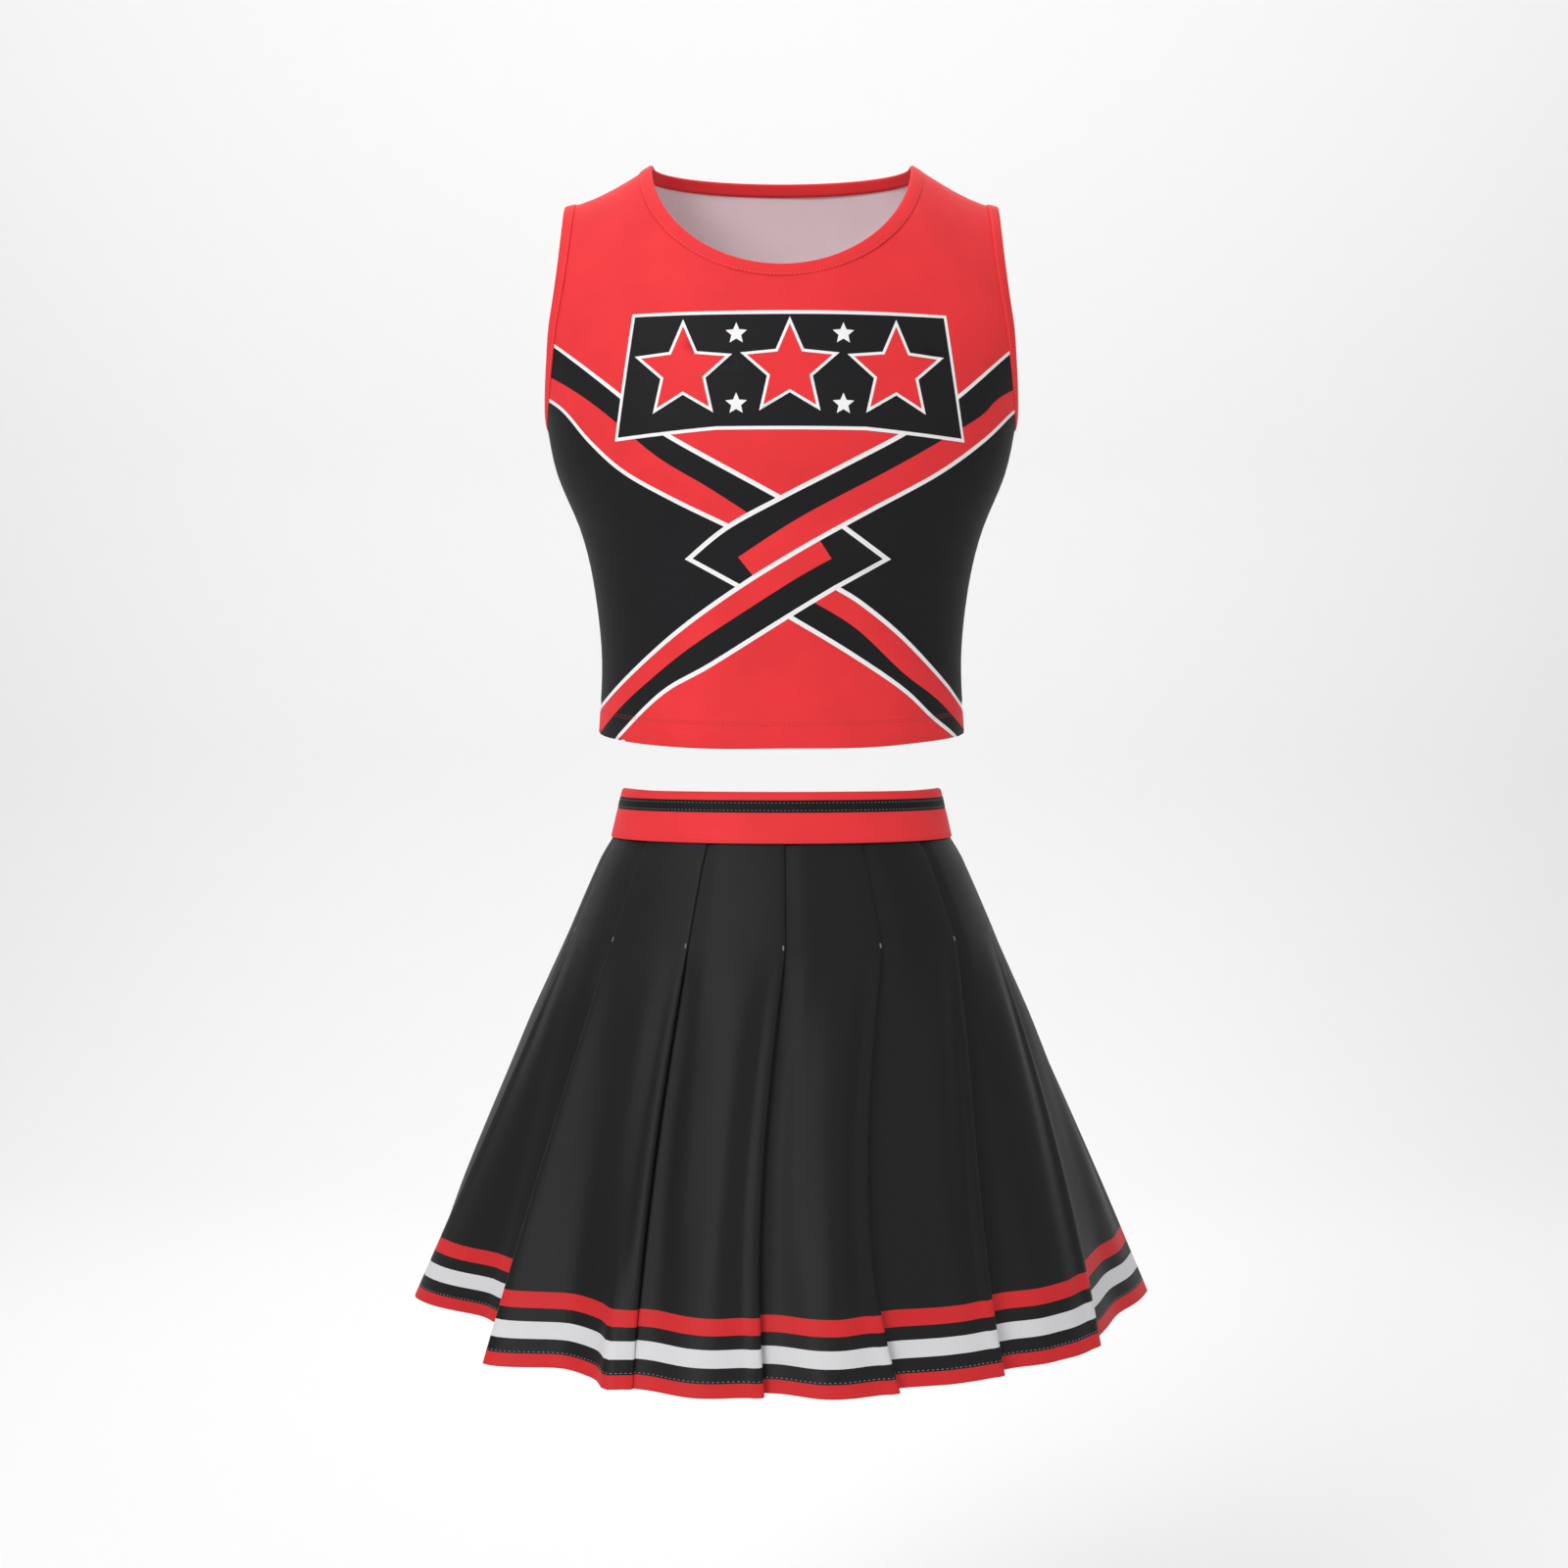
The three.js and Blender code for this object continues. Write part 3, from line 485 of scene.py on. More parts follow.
# Kinds of stitch: pitch, length, width and height.
BINDING_STITCH = (0.0030, 0.0024, 0.0006, 0.0003)
TOP_HEM_STITCH = (0.0032, 0.0026, 0.0005, 0.00025)
WAISTBAND_STITCH = (0.0030, 0.0022, 0.0006, 0.00025)
HEM_STITCH = (0.0034, 0.0022, 0.0007, 0.0003)
STITCH_SINK = 0.3                    # how deep a stitch lies, against how high it stands


def add_diamond(points, faces, corners, crown, keel):
    """Adds a flat diamond that rises to a crown above and a keel below."""
    base = len(points)
    points += [*corners, crown, keel]
    for k in range(4):
        a, b = base + k, base + (k + 1) % 4
        faces.append((a, b, base + 4))
        faces.append((b, a, base + 5))


def stitch_row(path, normals, kind):
    """Stitches of a kind along a path, each a low diamond: their points and faces."""
    pitch, length, width, height = kind
    path = np.array(path, float)
    normals = np.array(normals, float)
    reach = np.concatenate([[0], np.cumsum(np.linalg.norm(np.diff(path, axis=0), axis=1))])
    count = int(reach[-1] / pitch)
    points = []
    faces = []
    for i in range(count):
        at = [(i + 0.5) * pitch + offset for offset in (-length / 2, 0, length / 2)]
        here = [np.array([np.interp(s, reach, path[:, k]) for k in range(3)]) for s in at]
        normal = np.array([np.interp(at[1], reach, normals[:, k]) for k in range(3)])
        normal /= np.linalg.norm(normal)
        along = here[2] - here[0]
        across = np.cross(normal, along / np.linalg.norm(along)) * width / 2
        add_diamond(points, faces, [here[0], here[1] - across, here[2], here[1] + across],
                    here[1] + normal * height, here[1] - normal * height * STITCH_SINK)
    return points, faces


def stitched(name, rows, material):
    """One object of several stitch rows."""
    points = []
    faces = []
    for row_points, row_faces in rows:
        base = len(points)
        points += row_points
        faces += [tuple(base + i for i in face) for face in row_faces]
    return make(name, points, faces, [0] * len(faces), [material])


# ---- the crop top's print

PLY = 0.0009
HEM_ROLL = 0.0013
HEM_TURN_UP = 0.020
CLIMB = 0.350                        # the flat height given to the cloth above the armpit
DEGREE = 0.0029                      # the flat width given to a degree of the form
PANEL_RING = 0.25                    # the panel's raw edge lies this far into the binding
LINE_STEP = 0.004
LINE_WIDTH = 0.0034
PLAQUE_LINE_WIDTH = 0.0024

# Lines of the print, as x and z seen from the front. The bands cross at the waist.
UPPER_RIGHT = [(-0.190, 0.346), (-0.164, 0.327), (-0.116, 0.289), (-0.085, 0.262), (-0.001, 0.215)]
SPLIT_RIGHT = [(-0.190, 0.319), (-0.153, 0.296), (-0.126, 0.276), (-0.089, 0.245), (-0.053, 0.223),
               (-0.022, 0.203)]
LOWER_RIGHT = [(-0.190, 0.302), (-0.163, 0.284), (-0.140, 0.258), (-0.114, 0.235), (-0.077, 0.214),
               (-0.038, 0.195)]
UPPER_LEFT = [(0.190, 0.343), (0.166, 0.323), (0.128, 0.289), (0.091, 0.263), (0.045, 0.238),
              (0.002, 0.216), (-0.039, 0.194), (-0.067, 0.172)]
SPLIT_LEFT = [(0.190, 0.309), (0.160, 0.291), (0.146, 0.277), (0.115, 0.257), (0.075, 0.234),
              (0.013, 0.201), (-0.031, 0.173)]
LOWER_LEFT = [(0.190, 0.298), (0.171, 0.281), (0.148, 0.259), (0.114, 0.234), (0.063, 0.206),
              (0.016, 0.180), (-0.030, 0.152), (-0.074, 0.121), (-0.112, 0.088), (-0.136, 0.064),
              (-0.165, 0.030)]
KNOT_LEFT_CORNER = (-0.030, 0.152)
KNOT_RIGHT = [(0.044, 0.195), (0.076, 0.172)]
CROSS_LOWER = [(0.076, 0.172), (0.038, 0.151), (0.005, 0.131), (-0.051, 0.096), (-0.087, 0.075),
               (-0.122, 0.041), (-0.140, 0.018)]
CROSS_SPLIT = [(0.036, 0.172), (0.011, 0.158), (-0.027, 0.134), (-0.068, 0.107), (-0.099, 0.082),
               (-0.125, 0.058), (-0.158, 0.018)]
FOOT_UPPER = [(0.040, 0.151), (0.058, 0.140), (0.088, 0.116), (0.120, 0.084), (0.136, 0.064),
              (0.165, 0.026)]
FOOT_SPLIT = [(0.023, 0.141), (0.054, 0.122), (0.089, 0.090), (0.120, 0.066), (0.155, 0.026)]
FOOT_LOWER = [(0.005, 0.131), (0.047, 0.106), (0.089, 0.078), (0.112, 0.057), (0.130, 0.042),
              (0.148, 0.022)]
PLAQUE = [(0.006, 0.346), (0.118, 0.346), (0.132, 0.258), (0.060, 0.264), (-0.046, 0.264),
          (-0.119, 0.258), (-0.106, 0.346)]
STAR_CENTRES = [(-0.070, 0.305), (0.006, 0.306), (0.082, 0.305)]
STAR_RADIUS = 0.032
STAR_LINE = 0.0050                   # measured at the points, where the star's outline is longest
STAR_WAIST = 0.46
SMALL_STARS = [(-0.032, 0.331), (0.044, 0.331), (-0.032, 0.281), (0.044, 0.281)]
SMALL_STAR_RADIUS = 0.008


def smooth_line(points):
    """Rounds a line with a spline that passes through its points."""
    padded = [points[0], *points, points[-1]]
    line = [points[0]]
    for i in range(1, len(padded) - 2):
        p = [np.array(padded[i + k], float) for k in (-1, 0, 1, 2)]
        count = max(int(np.linalg.norm(p[2] - p[1]) / LINE_STEP), 1)
        for k in range(1, count + 1):
            t = k / count
            line.append(tuple(0.5 * (2 * p[1] + (p[2] - p[0]) * t
                              + (2 * p[0] - 5 * p[1] + 4 * p[2] - p[3]) * t ** 2
                              + (3 * p[1] - p[0] - 3 * p[2] + p[3]) * t ** 3)))
    return line


def straight_line(points):
    line = [points[0]]
    for a, b in zip(points, points[1:]):
        count = max(int(math.dist(a, b) / LINE_STEP), 1)
        line += [(lerp(a[0], b[0], k / count), lerp(a[1], b[1], k / count))
                 for k in range(1, count + 1)]
    return line


def star(centre, radius):
    points = []
    for k in range(10):
        reach = radius if k % 2 == 0 else radius * STAR_WAIST
        points.append((centre[0] + reach * sine(36 * k), centre[1] + reach * cosine(36 * k)))
    return points


def flat_place(x, z):
    """Where a point seen at x and z lies on the flat panel."""
    half = torso_half_width(z)
    if abs(x) < half:
        angle = math.degrees(math.asin(x / half))
    else:
        angle = math.copysign(90 + (abs(x) - half) / DEGREE, x)
    rise = clamp((z - ARMPIT_HEIGHT) / (shoulder_height(x) - ARMPIT_HEIGHT))
    up = ARMPIT_HEIGHT + CLIMB * (1 - math.sqrt(1 - rise)) if rise > 0 else z
    return angle * DEGREE, up


def on_panel(line):
    return [flat_place(x, z) for x, z in line]


def ribbon(line, width):
    """The outline of a line of even width, with mitred corners."""
    points = np.array(line, float)
    moved = np.linalg.norm(np.diff(points, axis=0), axis=1) > 1e-6
    points = points[np.concatenate([[True], moved])]
    steps = np.diff(points, axis=0)
    steps /= np.linalg.norm(steps, axis=1, keepdims=True)
    before = np.concatenate([steps[:1], steps])
    after = np.concatenate([steps, steps[-1:]])
    normal = np.stack([-(before + after)[:, 1], (before + after)[:, 0]], axis=1)
    normal /= np.linalg.norm(normal, axis=1, keepdims=True)
    square = np.stack([-before[:, 1], before[:, 0]], axis=1)
    reach = width / 2 / np.maximum(np.sum(normal * square, axis=1, keepdims=True), 0.35)
    left = points + normal * reach
    right = points - normal * reach
    return [tuple(p) for p in left] + [tuple(p) for p in right[::-1]]


def band_between(first, second):
    return on_panel(first) + on_panel(second)[::-1]


def nearest(line, place):
    """The index of the line's point nearest to a place."""
    return min(range(len(line)), key=lambda i: math.dist(line[i], place))


def band_print():
    """The crossing bands: (outline, colour) in the order they are laid on the red cloth."""
    upper_right, split_right, lower_right = map(smooth_line, (UPPER_RIGHT, SPLIT_RIGHT, LOWER_RIGHT))
    upper_left, split_left, lower_left = map(smooth_line, (UPPER_LEFT, SPLIT_LEFT, LOWER_LEFT))
    foot_upper, foot_split, foot_lower = map(smooth_line, (FOOT_UPPER, FOOT_SPLIT, FOOT_LOWER))
    cross_lower = [CROSS_LOWER[0]] + smooth_line(CROSS_LOWER[1:])
    cross_split = smooth_line(CROSS_SPLIT)
    corner = nearest(lower_left, KNOT_LEFT_CORNER)
    start = nearest(lower_left, KNOT_RIGHT[0])
    knot_left = straight_line([UPPER_LEFT[-1], lower_left[corner]])
    far = 0.30
    right_side = lower_right + knot_left + lower_left[corner:] + [(-far, 0.010), (-far, 0.302)]
    left_side = lower_left[:start + 1] + [KNOT_RIGHT[1]] + foot_upper + [(far, 0.010), (far, 0.298)]
    areas = [
        (on_panel(right_side), "black"),
        (on_panel(left_side), "black"),
        (band_between(upper_right, split_right), "black"),
        (band_between(foot_split, foot_lower), "black"),
        (band_between(upper_left + knot_left, split_left + lower_left[corner - 3:corner + 1]),
         "black"),
        (band_between(lower_left[start:], straight_line(KNOT_RIGHT) + cross_lower), "black"),
        (band_between(lower_left[start + 5:], cross_split), "red"),
    ]
    lines = [upper_right, lower_right, foot_upper, foot_lower, lower_left,
             upper_left + knot_left, straight_line(KNOT_RIGHT) + cross_lower]
    return areas + [(ribbon(on_panel(line), LINE_WIDTH), "white") for line in lines]


def chest_print():
    """A plaque with stars, in the place of a team's name."""
    edge = straight_line(PLAQUE + PLAQUE[:1])
    areas = [(on_panel(edge), "black"), (ribbon(on_panel(edge), PLAQUE_LINE_WIDTH), "white")]
    for centre in STAR_CENTRES:
        areas.append((on_panel(star(centre, STAR_RADIUS + STAR_LINE)), "white"))
        areas.append((on_panel(star(centre, STAR_RADIUS)), "red"))
    for centre in SMALL_STARS:
        areas.append((on_panel(star(centre, SMALL_STAR_RADIUS)), "white"))
    return areas


# ---- the crop top's panels

def panel_point(angle, up, side):
    """A point of a panel's outer face. Below the hem's edge the cloth is turned up inside."""
    hem = hem_height(angle, side)
    drop = hem + HEM_ROLL - up
    if drop > 0:
        turn = min(drop / HEM_ROLL, math.pi)
        z = hem + HEM_ROLL * (1 - math.sin(turn)) + max(drop - math.pi * HEM_ROLL, 0)
        return torso(angle, z, side) - torso_outward(angle, z, side) * HEM_ROLL * (1 - math.cos(turn))
    if up <= ARMPIT_HEIGHT:
        return torso(angle, up, side)
    rise = 1 - (1 - min((up - ARMPIT_HEIGHT) / CLIMB, 1)) ** 2
    z = ARMPIT_HEIGHT + rise * (NECK_Z - ARMPIT_HEIGHT)
    for _ in range(5):
        x = torso_half_width(z) * sine(angle)
        z = ARMPIT_HEIGHT + rise * (shoulder_height(x) - ARMPIT_HEIGHT)
    return torso(angle, z, side)


def panel_outline(side):
    """The panel's edge, anticlockwise on the flat: hem, side, armhole, shoulder, neck and back."""
    foot = HEM_HEIGHT - HEM_ROLL * (math.pi - 1) - HEM_TURN_UP
    edge = [(angle * DEGREE, foot - HEM_HEIGHT + hem_height(angle, side))
            for angle in np.linspace(0, 90, 46)]
    low = armhole_bottom(PANEL_RING)
    edge += [(90 * DEGREE, up) for up in np.linspace(foot, low, 40)[1:]]
    high = armhole_tip_height(PANEL_RING)
    for share in np.linspace(0, 1, 50)[1:]:
        z = lerp(low, high, (1 - math.cos(math.pi * share)) / 2)
        angle = armhole_angle(z, PANEL_RING)
        x = torso_half_width(z) * sine(angle)
        edge.append((angle * DEGREE, flat_place(x, z)[1]))
    tip = edge[-1][0]
    neck_half = NECK_X + BINDING_WIDTH * PANEL_RING
    neck = math.degrees(math.asin(neck_half / torso_half_width(shoulder_height(neck_half)))) * DEGREE
    top = ARMPIT_HEIGHT + CLIMB
    edge[-1] = (tip, top)
    edge += [(lerp(tip, neck, share), top) for share in np.linspace(0, 1, 14)[1:]]
    for turn in np.linspace(90, 0, 50)[1:]:
        x = neck_half * sine(turn)
        edge.append(flat_place(x, neck_edge(x, side, PANEL_RING)))
    return edge + [(-x, up) for x, up in edge[-2:0:-1]]


def inside(outline, points):
    """Which points lie inside a closed outline."""
    x, y = points[:, 0], points[:, 1]
    result = np.zeros(len(points), bool)
    for (ax, ay), (bx, by) in zip(outline, outline[1:] + outline[:1]):
        if ay == by:
            continue
        crosses = (ay > y) != (by > y)
        result ^= crosses & (x < (bx - ax) * (y - ay) / (by - ay) + ax)
    return result


def panel_grid(side):
    """Points spread over the flat panel, closer together at the folds and the seams."""
    across = [0.9, 2.2, 4.0]
    columns = np.concatenate([np.arange(-84, 85, 4.0)] + [[s * (90 - d / 2.9) for s in (-1, 1)]
                                                         for d in across])
    ups = list(np.arange(HEM_HEIGHT + 0.005, ARMPIT_HEIGHT + CLIMB - 0.006, 0.010))
    ups += [ARMPIT_HEIGHT + CLIMB - d for d in (0.001, 0.003, 0.006)]
    folds = [HEM_ROLL - HEM_ROLL * math.pi * k / 6 for k in range(7)] + [-0.009, -0.016]
    points = [(angle * DEGREE, up) for angle in columns for up in ups]
    return points + [(angle * DEGREE, hem_height(angle, side) + fold)
                     for angle in columns for fold in folds]


PANEL_DRAPE = 0.0011
SEAM_PULL = 0.0005
SIDE_PULL_WIDTH, SHOULDER_PULL_WIDTH = 0.0016, 0.0022


def panel_relief(point, angle, up):
    """Slight drape, and the pull of the side and shoulder seams on the cloth beside them."""
    drape = PANEL_DRAPE * noise.noise(Vector((point.x * 14, point.y * 14, point.z * 9)))
    side = (90 - abs(angle)) * DEGREE
    shoulder = ARMPIT_HEIGHT + CLIMB - up
    pull = math.exp(-(side / SIDE_PULL_WIDTH) ** 2) + math.exp(-(shoulder / SHOULDER_PULL_WIDTH) ** 2)
    quiet = smoothstep(up, 0.0, HEM_HEIGHT) * smoothstep(shoulder, 0.0, 0.03)
    return drape * quiet - SEAM_PULL * pull


PRINT_COLOURS = ["red", "black", "white", "reverse"]


def cut_panel(side, areas):
    """Cuts the flat panel along its print: the flat points, the triangles and their colours."""
    outline = panel_outline(side)
    coordinates = []
    edges = []
    for loop in [outline] + [area for area, _ in areas]:
        base = len(coordinates)
        coordinates += [Vector(p) for p in loop]
        edges += [(base + i, base + (i + 1) % len(loop)) for i in range(len(loop))]
    grid = np.array(panel_grid(side))
    coordinates += [Vector(p) for p in grid[inside(outline, grid)]]
    flat, _, triangles, *_ = delaunay_2d_cdt(coordinates, edges, [], 0, 1e-6, False)
    flat = np.array([tuple(p) for p in flat])
    triangles = np.array([tuple(t) for t in triangles if len(t) == 3])
    middles = flat[triangles].mean(axis=1)
    kept = inside(outline, middles)
    triangles = triangles[kept]
    middles = middles[kept]
    colours = np.zeros(len(triangles), int)
    for area, colour in areas:
        colours[inside(area, middles)] = PRINT_COLOURS.index(colour)
    used = np.unique(triangles)
    number = np.full(len(flat), -1)
    number[used] = np.arange(len(used))
    return flat[used], number[triangles], colours


def top_panel(name, side, areas):
    """One panel of the top, cut along its print, with the cloth's reverse inside."""
    flat, triangles, colours = cut_panel(side, areas)
    outer = []
    inner = []
    step = 1e-4
    for s, up in flat:
        angle = s / DEGREE
        point = panel_point(angle, up, side)
        along = panel_point(angle + 0.05, up, side) - panel_point(angle - 0.05, up, side)
        rise = panel_point(angle, up + step, side) - panel_point(angle, up - step, side)
        normal = along.cross(rise).normalized() * -side
        point += normal * panel_relief(point, angle, up)
        outer.append(point)
        inner.append(point - normal * PLY)
    if side > 0:
        triangles = triangles[:, ::-1]
    count = len(outer)
    faces = [tuple(t) for t in triangles]
    slots = list(colours)
    faces += [tuple(count + i for i in t[::-1]) for t in triangles]
    sides = dict.fromkeys((t[i - 1], t[i]) for t in triangles for i in range(3))
    faces += [(b, a, count + a, count + b) for a, b in sides if (b, a) not in sides]
    slots += [PRINT_COLOURS.index("reverse")] * (len(faces) - len(slots))
    materials = [KNIT_RED, KNIT_BLACK, KNIT_WHITE, KNIT_REVERSE]
    piece = make(name, outer + inner, faces, slots, materials, np.concatenate([flat, flat]))
    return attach(piece, "top")


# ---- bindings

BINDING_PLY = 0.0008
BINDING_FOLD = 0.0009                # radius of the fold round the panel's raw edge
BINDING_MIDDLE = -0.00045
BINDING_STITCH_RING = 0.86           # how far across the binding its stitches lie


def binding_section():
    """(distance from the finished edge, distance out) from the outer ply's edge to the inner's."""
    outer = BINDING_MIDDLE + BINDING_FOLD
    inner = BINDING_MIDDLE - BINDING_FOLD
    section = [(BINDING_WIDTH, outer - 0.0002), (0.0080, outer + 0.0001), (0.0060, outer + 0.0003),
               (0.0040, outer + 0.0003), (0.0022, outer + 0.0001)]
    for k in range(9):
        turn = 180 * k / 8
        out = BINDING_MIDDLE + BINDING_FOLD * cosine(turn)
        section.append((BINDING_FOLD * (1 - sine(turn)), out))
    return section + [(0.0030, inner), (0.0058, inner), (BINDING_WIDTH, inner)]


def neck_place(share, ring):
    turn = lerp(-89.9, 269.9, share)
    side = -1 if turn < 90 else 1
    half = NECK_X + BINDING_WIDTH * ring
    x = half * sine(turn)
    z = neck_edge(x, side, ring)
    point = torso(math.degrees(math.asin(x / torso_half_width(z))), z, side)
    point.y -= side * SEAM_GAP
    return point


def armhole_place(hand):
    def place(share, ring):
        turn = hand * lerp(1, -1, share)
        side = -1 if turn > 0 else 1
        low = armhole_bottom(ring)
        rise = (1 - math.cos(math.pi * abs(turn))) / 2
        z = lerp(low, armhole_tip_height(ring) - 0.00005, rise)
        point = torso(hand * armhole_angle(z, ring), z, side)
        point.y -= side * SEAM_GAP * (1 - rise)
        return point
    return place


def surface_normal(place, share, ring):
    """The normal of the form that a binding lies on, from short steps along and across it."""
    along = place(min(share + 0.002, 1), ring) - place(max(share - 0.002, 0), ring)
    low = max(ring - 0.05, 0)
    to_edge = place(share, low) - place(share, low + 0.1)
    return along.cross(to_edge).normalized()


def binding(name, place, columns, node):
    """A folded strip sewn round the edge of an opening, and its line of stitches."""
    def on_cloth(row, share):
        across, out = row
        ring = across / BINDING_WIDTH
        return place(share, ring) + surface_normal(place, share, ring) * out

    shares = evenly(0, 1, columns)
    points = grid_of(binding_section(), shares, on_cloth)
    piece = cloth_piece(name, points, BINDING_PLY, [BINDING_RED])
    # Stitches in the pale pink thread. Their colour is a painted highlight along the binding's seam.
    normals = [surface_normal(place, share, BINDING_STITCH_RING) for share in shares]
    path = [place(share, BINDING_STITCH_RING) + normal * BINDING_FOLD
            for share, normal in zip(shares, normals)]
    stitches = stitched(f"{name}_stitches", [stitch_row(path, normals, BINDING_STITCH)], SEAM_HIGHLIGHT_THREAD)
    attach(piece, "top")
    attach(stitches, "top")
    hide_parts(node)


# ---- the crop top

TOP_HEM_STITCH_ROWS = (0.0172, 0.0190)   # above the hem's edge
STITCH_RISE = 0.00005                    # the thread's middle lies this far outside the cloth


def top_hem_stitches():
    """The coverstitch that holds the turned-up hem."""
    rows = []
    for side in (-1, 1):
        for above in TOP_HEM_STITCH_ROWS:
            path = []
            normals = []
            for angle in np.linspace(-89, 89, 90):
                z = hem_height(angle, side) + above
                outward = torso_outward(angle, z, side)
                point = torso(angle, z, side)
                path.append(point + outward * (panel_relief(point, angle, z) + STITCH_RISE))
                normals.append(outward)
            rows.append(stitch_row(path, normals, TOP_HEM_STITCH))
    piece = stitched("top_hem_stitches", rows, RED_THREAD)
    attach(piece, "top")
    return piece


STAY_PLY = 0.0005
STAY_WIDTH = 0.010
STAY_DROP = 0.0035                   # below the shoulder's ridge
STAY_CLEARANCE = 0.013               # between its ends and the openings


def stay_tape(name, hand):
    """A narrow woven tape sewn into the shoulder seam."""
    def place(y, x):
        return x * hand, SHOULDER_FORWARD + y, shoulder_height(x) - STAY_DROP

    across = evenly(-STAY_WIDTH / 2, STAY_WIDTH / 2, 4)
    along = evenly(NECK_X + STAY_CLEARANCE, TIP_X - STAY_CLEARANCE, 24)
    points = grid_of(across, along, place)
    if hand < 0:
        points = points[:, ::-1]
    piece = cloth_piece(name, points, STAY_PLY, [TAPE_WHITE])
    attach(piece, "top")
    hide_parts("shoulder_stay_tape_left" if hand > 0 else "shoulder_stay_tape_right")


def crop_top():
    bands = band_print()
    front = top_panel("top_front", -1, bands + chest_print())
    back = top_panel("top_back", 1, bands)
    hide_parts("top_front_panel", "top_hem_turn_up")
    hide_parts("top_back_panel", "top_hem_turn_up")
    stitches = top_hem_stitches()
    binding("neck_binding_strip", neck_place, 200, "neck_binding")
    binding("armhole_binding_strip_left", armhole_place(1), 140, "armhole_binding_left")
    binding("armhole_binding_strip_right", armhole_place(-1), 140, "armhole_binding_right")
    stay_tape("stay_tape_left", 1)
    stay_tape("stay_tape_right", -1)


# ---- the waistband

STRIPE_TOP = -0.0055
STRIPE_BOTTOM = -0.0144
BAND_PLY = 0.0010
BAND_FOLD = 0.0040                   # from the outside of the folded band to its inside
INTERLINING_PLY = 0.0007
INTERLINING_BOTTOM, INTERLINING_TOP = -0.0275, -0.0025
INTERLINING_DEPTH = 0.0017
BAND_STITCH_HEIGHTS = (STRIPE_TOP - 0.0018, STRIPE_BOTTOM + 0.0018, -BAND_HEIGHT + 0.0022)
SIDE_SEAM = 0.08                     # half the seam's width, in degrees
BAND_END = zip_edge(WAIST_HALF_WIDTH)
# Each piece's first and last angle, the length of its cloth, and its columns.
WAIST_PIECES = {
    "front": (-90 + SIDE_SEAM, 90 - SIDE_SEAM, 0.29344, 96),
    "back_left": (90 + SIDE_SEAM, BAND_END, 0.14336, 48),
    "back_right": (-BAND_END, -90 - SIDE_SEAM, 0.14336, 48),
}


def band_section():
    """(height, distance out, zone) up the outside, over the fold and down the inside."""
    reach = (BAND_FOLD - BAND_PLY) / 2
    low = -BAND_HEIGHT
    seam = 0.0008
    section = [(low, reach, "red")]
    stops = [(low + seam, 0.00005), (-0.030, 0.00015), (STRIPE_BOTTOM - 0.004, 0.0001),
             (STRIPE_BOTTOM - seam, 0.0), (STRIPE_BOTTOM, -0.0002)]
    section += [(z, reach + out, "red") for z, out in stops]
    stops = [(STRIPE_BOTTOM + seam, 0.0001), (lerp(STRIPE_BOTTOM, STRIPE_TOP, 0.5), 0.0002),
             (STRIPE_TOP - seam, 0.0001), (STRIPE_TOP, -0.0002)]
    section += [(z, reach + out, "black") for z, out in stops]
    section += [(STRIPE_TOP + seam, reach, "red"), (-reach - 0.001, reach, "red")]
    for k in range(1, 10):
        turn = 18 * k
        section.append((-reach + reach * sine(turn), reach * cosine(turn), "red"))
    return section + [(z, -reach, "red") for z in (-reach - 0.001, -0.012, -0.024, low)]


def waistband(suffix):
    start, end, length, columns = WAIST_PIECES[suffix]

    def place(row, angle):
        z, out, _ = row
        return band_point(angle, z - BAND_PLY / 2, out - BAND_FOLD / 2)

    angles = evenly(start, end, columns)
    section = band_section()
    row_slots = [1 if zone == "black" else 0 for _, _, zone in section[1:]]
    name = f"waistband_cloth_{suffix}"
    points = grid_of(section, angles, place)
    piece = cloth_piece(name, points, BAND_PLY, [BAND_RED, BAND_BLACK], row_slots)
    rows = []
    for z in BAND_STITCH_HEIGHTS:
        path = [band_point(angle, z - BAND_PLY / 2, 0.0001) for angle in angles]
        normals = [band_point(angle, z, 0.001) - band_point(angle, z, 0) for angle in angles]
        rows.append(stitch_row(path, normals, WAISTBAND_STITCH))
    stitches = stitched(f"{name}_stitches", rows[:2], GREY_THREAD)
    edge_stitches = stitched(f"{name}_edge_stitches", rows[2:], RED_THREAD)
    for thread_piece in (stitches, edge_stitches):
        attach(thread_piece, "skirt")
    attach(piece, "skirt")
    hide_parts(f"waistband_{suffix}")


def interlining(suffix):
    start, end, length, columns = WAIST_PIECES[suffix]
    points = grid_of(evenly(INTERLINING_BOTTOM, INTERLINING_TOP, 8), evenly(start, end, columns),
                     lambda z, angle: band_point(angle, z, -INTERLINING_DEPTH))
    piece = cloth_piece(f"interlining_{suffix}", points, INTERLINING_PLY, [TAPE_WHITE])
    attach(piece, "skirt")
    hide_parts(f"waistband_interlining_{suffix}")


# ---- the pleats

SKIRT_PLY = 0.0008
# Where folds -6 to 8 lie at the hem, as angles round the skirt.
HEM_FOLDS = [-159, -130, -105, -83.5, -45.3, -20.6, -2.3, 16.2, 33, 54, 87, 112, 139, 168, 201]
# How far some folds bow sideways halfway down, in degrees.
FOLD_BOWS = {-1: -1.0, 0: -2.5, 1: -5.6, 2: -4.0, 3: -1.0}
TUCK_AT_RELEASE = 0.025
TUCK_AT_HEM = 0.058
BOX_TUCK_SHARE = 0.7
FOLD_AT_RELEASE = 0.0006
FOLD_AT_HEM = 0.0026
SOFT_FOLD = -1                       # this fold has opened into a wave by the hem
SOFT_FOLD_AT_HEM = 0.0007
SOFT_CREST = 0.010
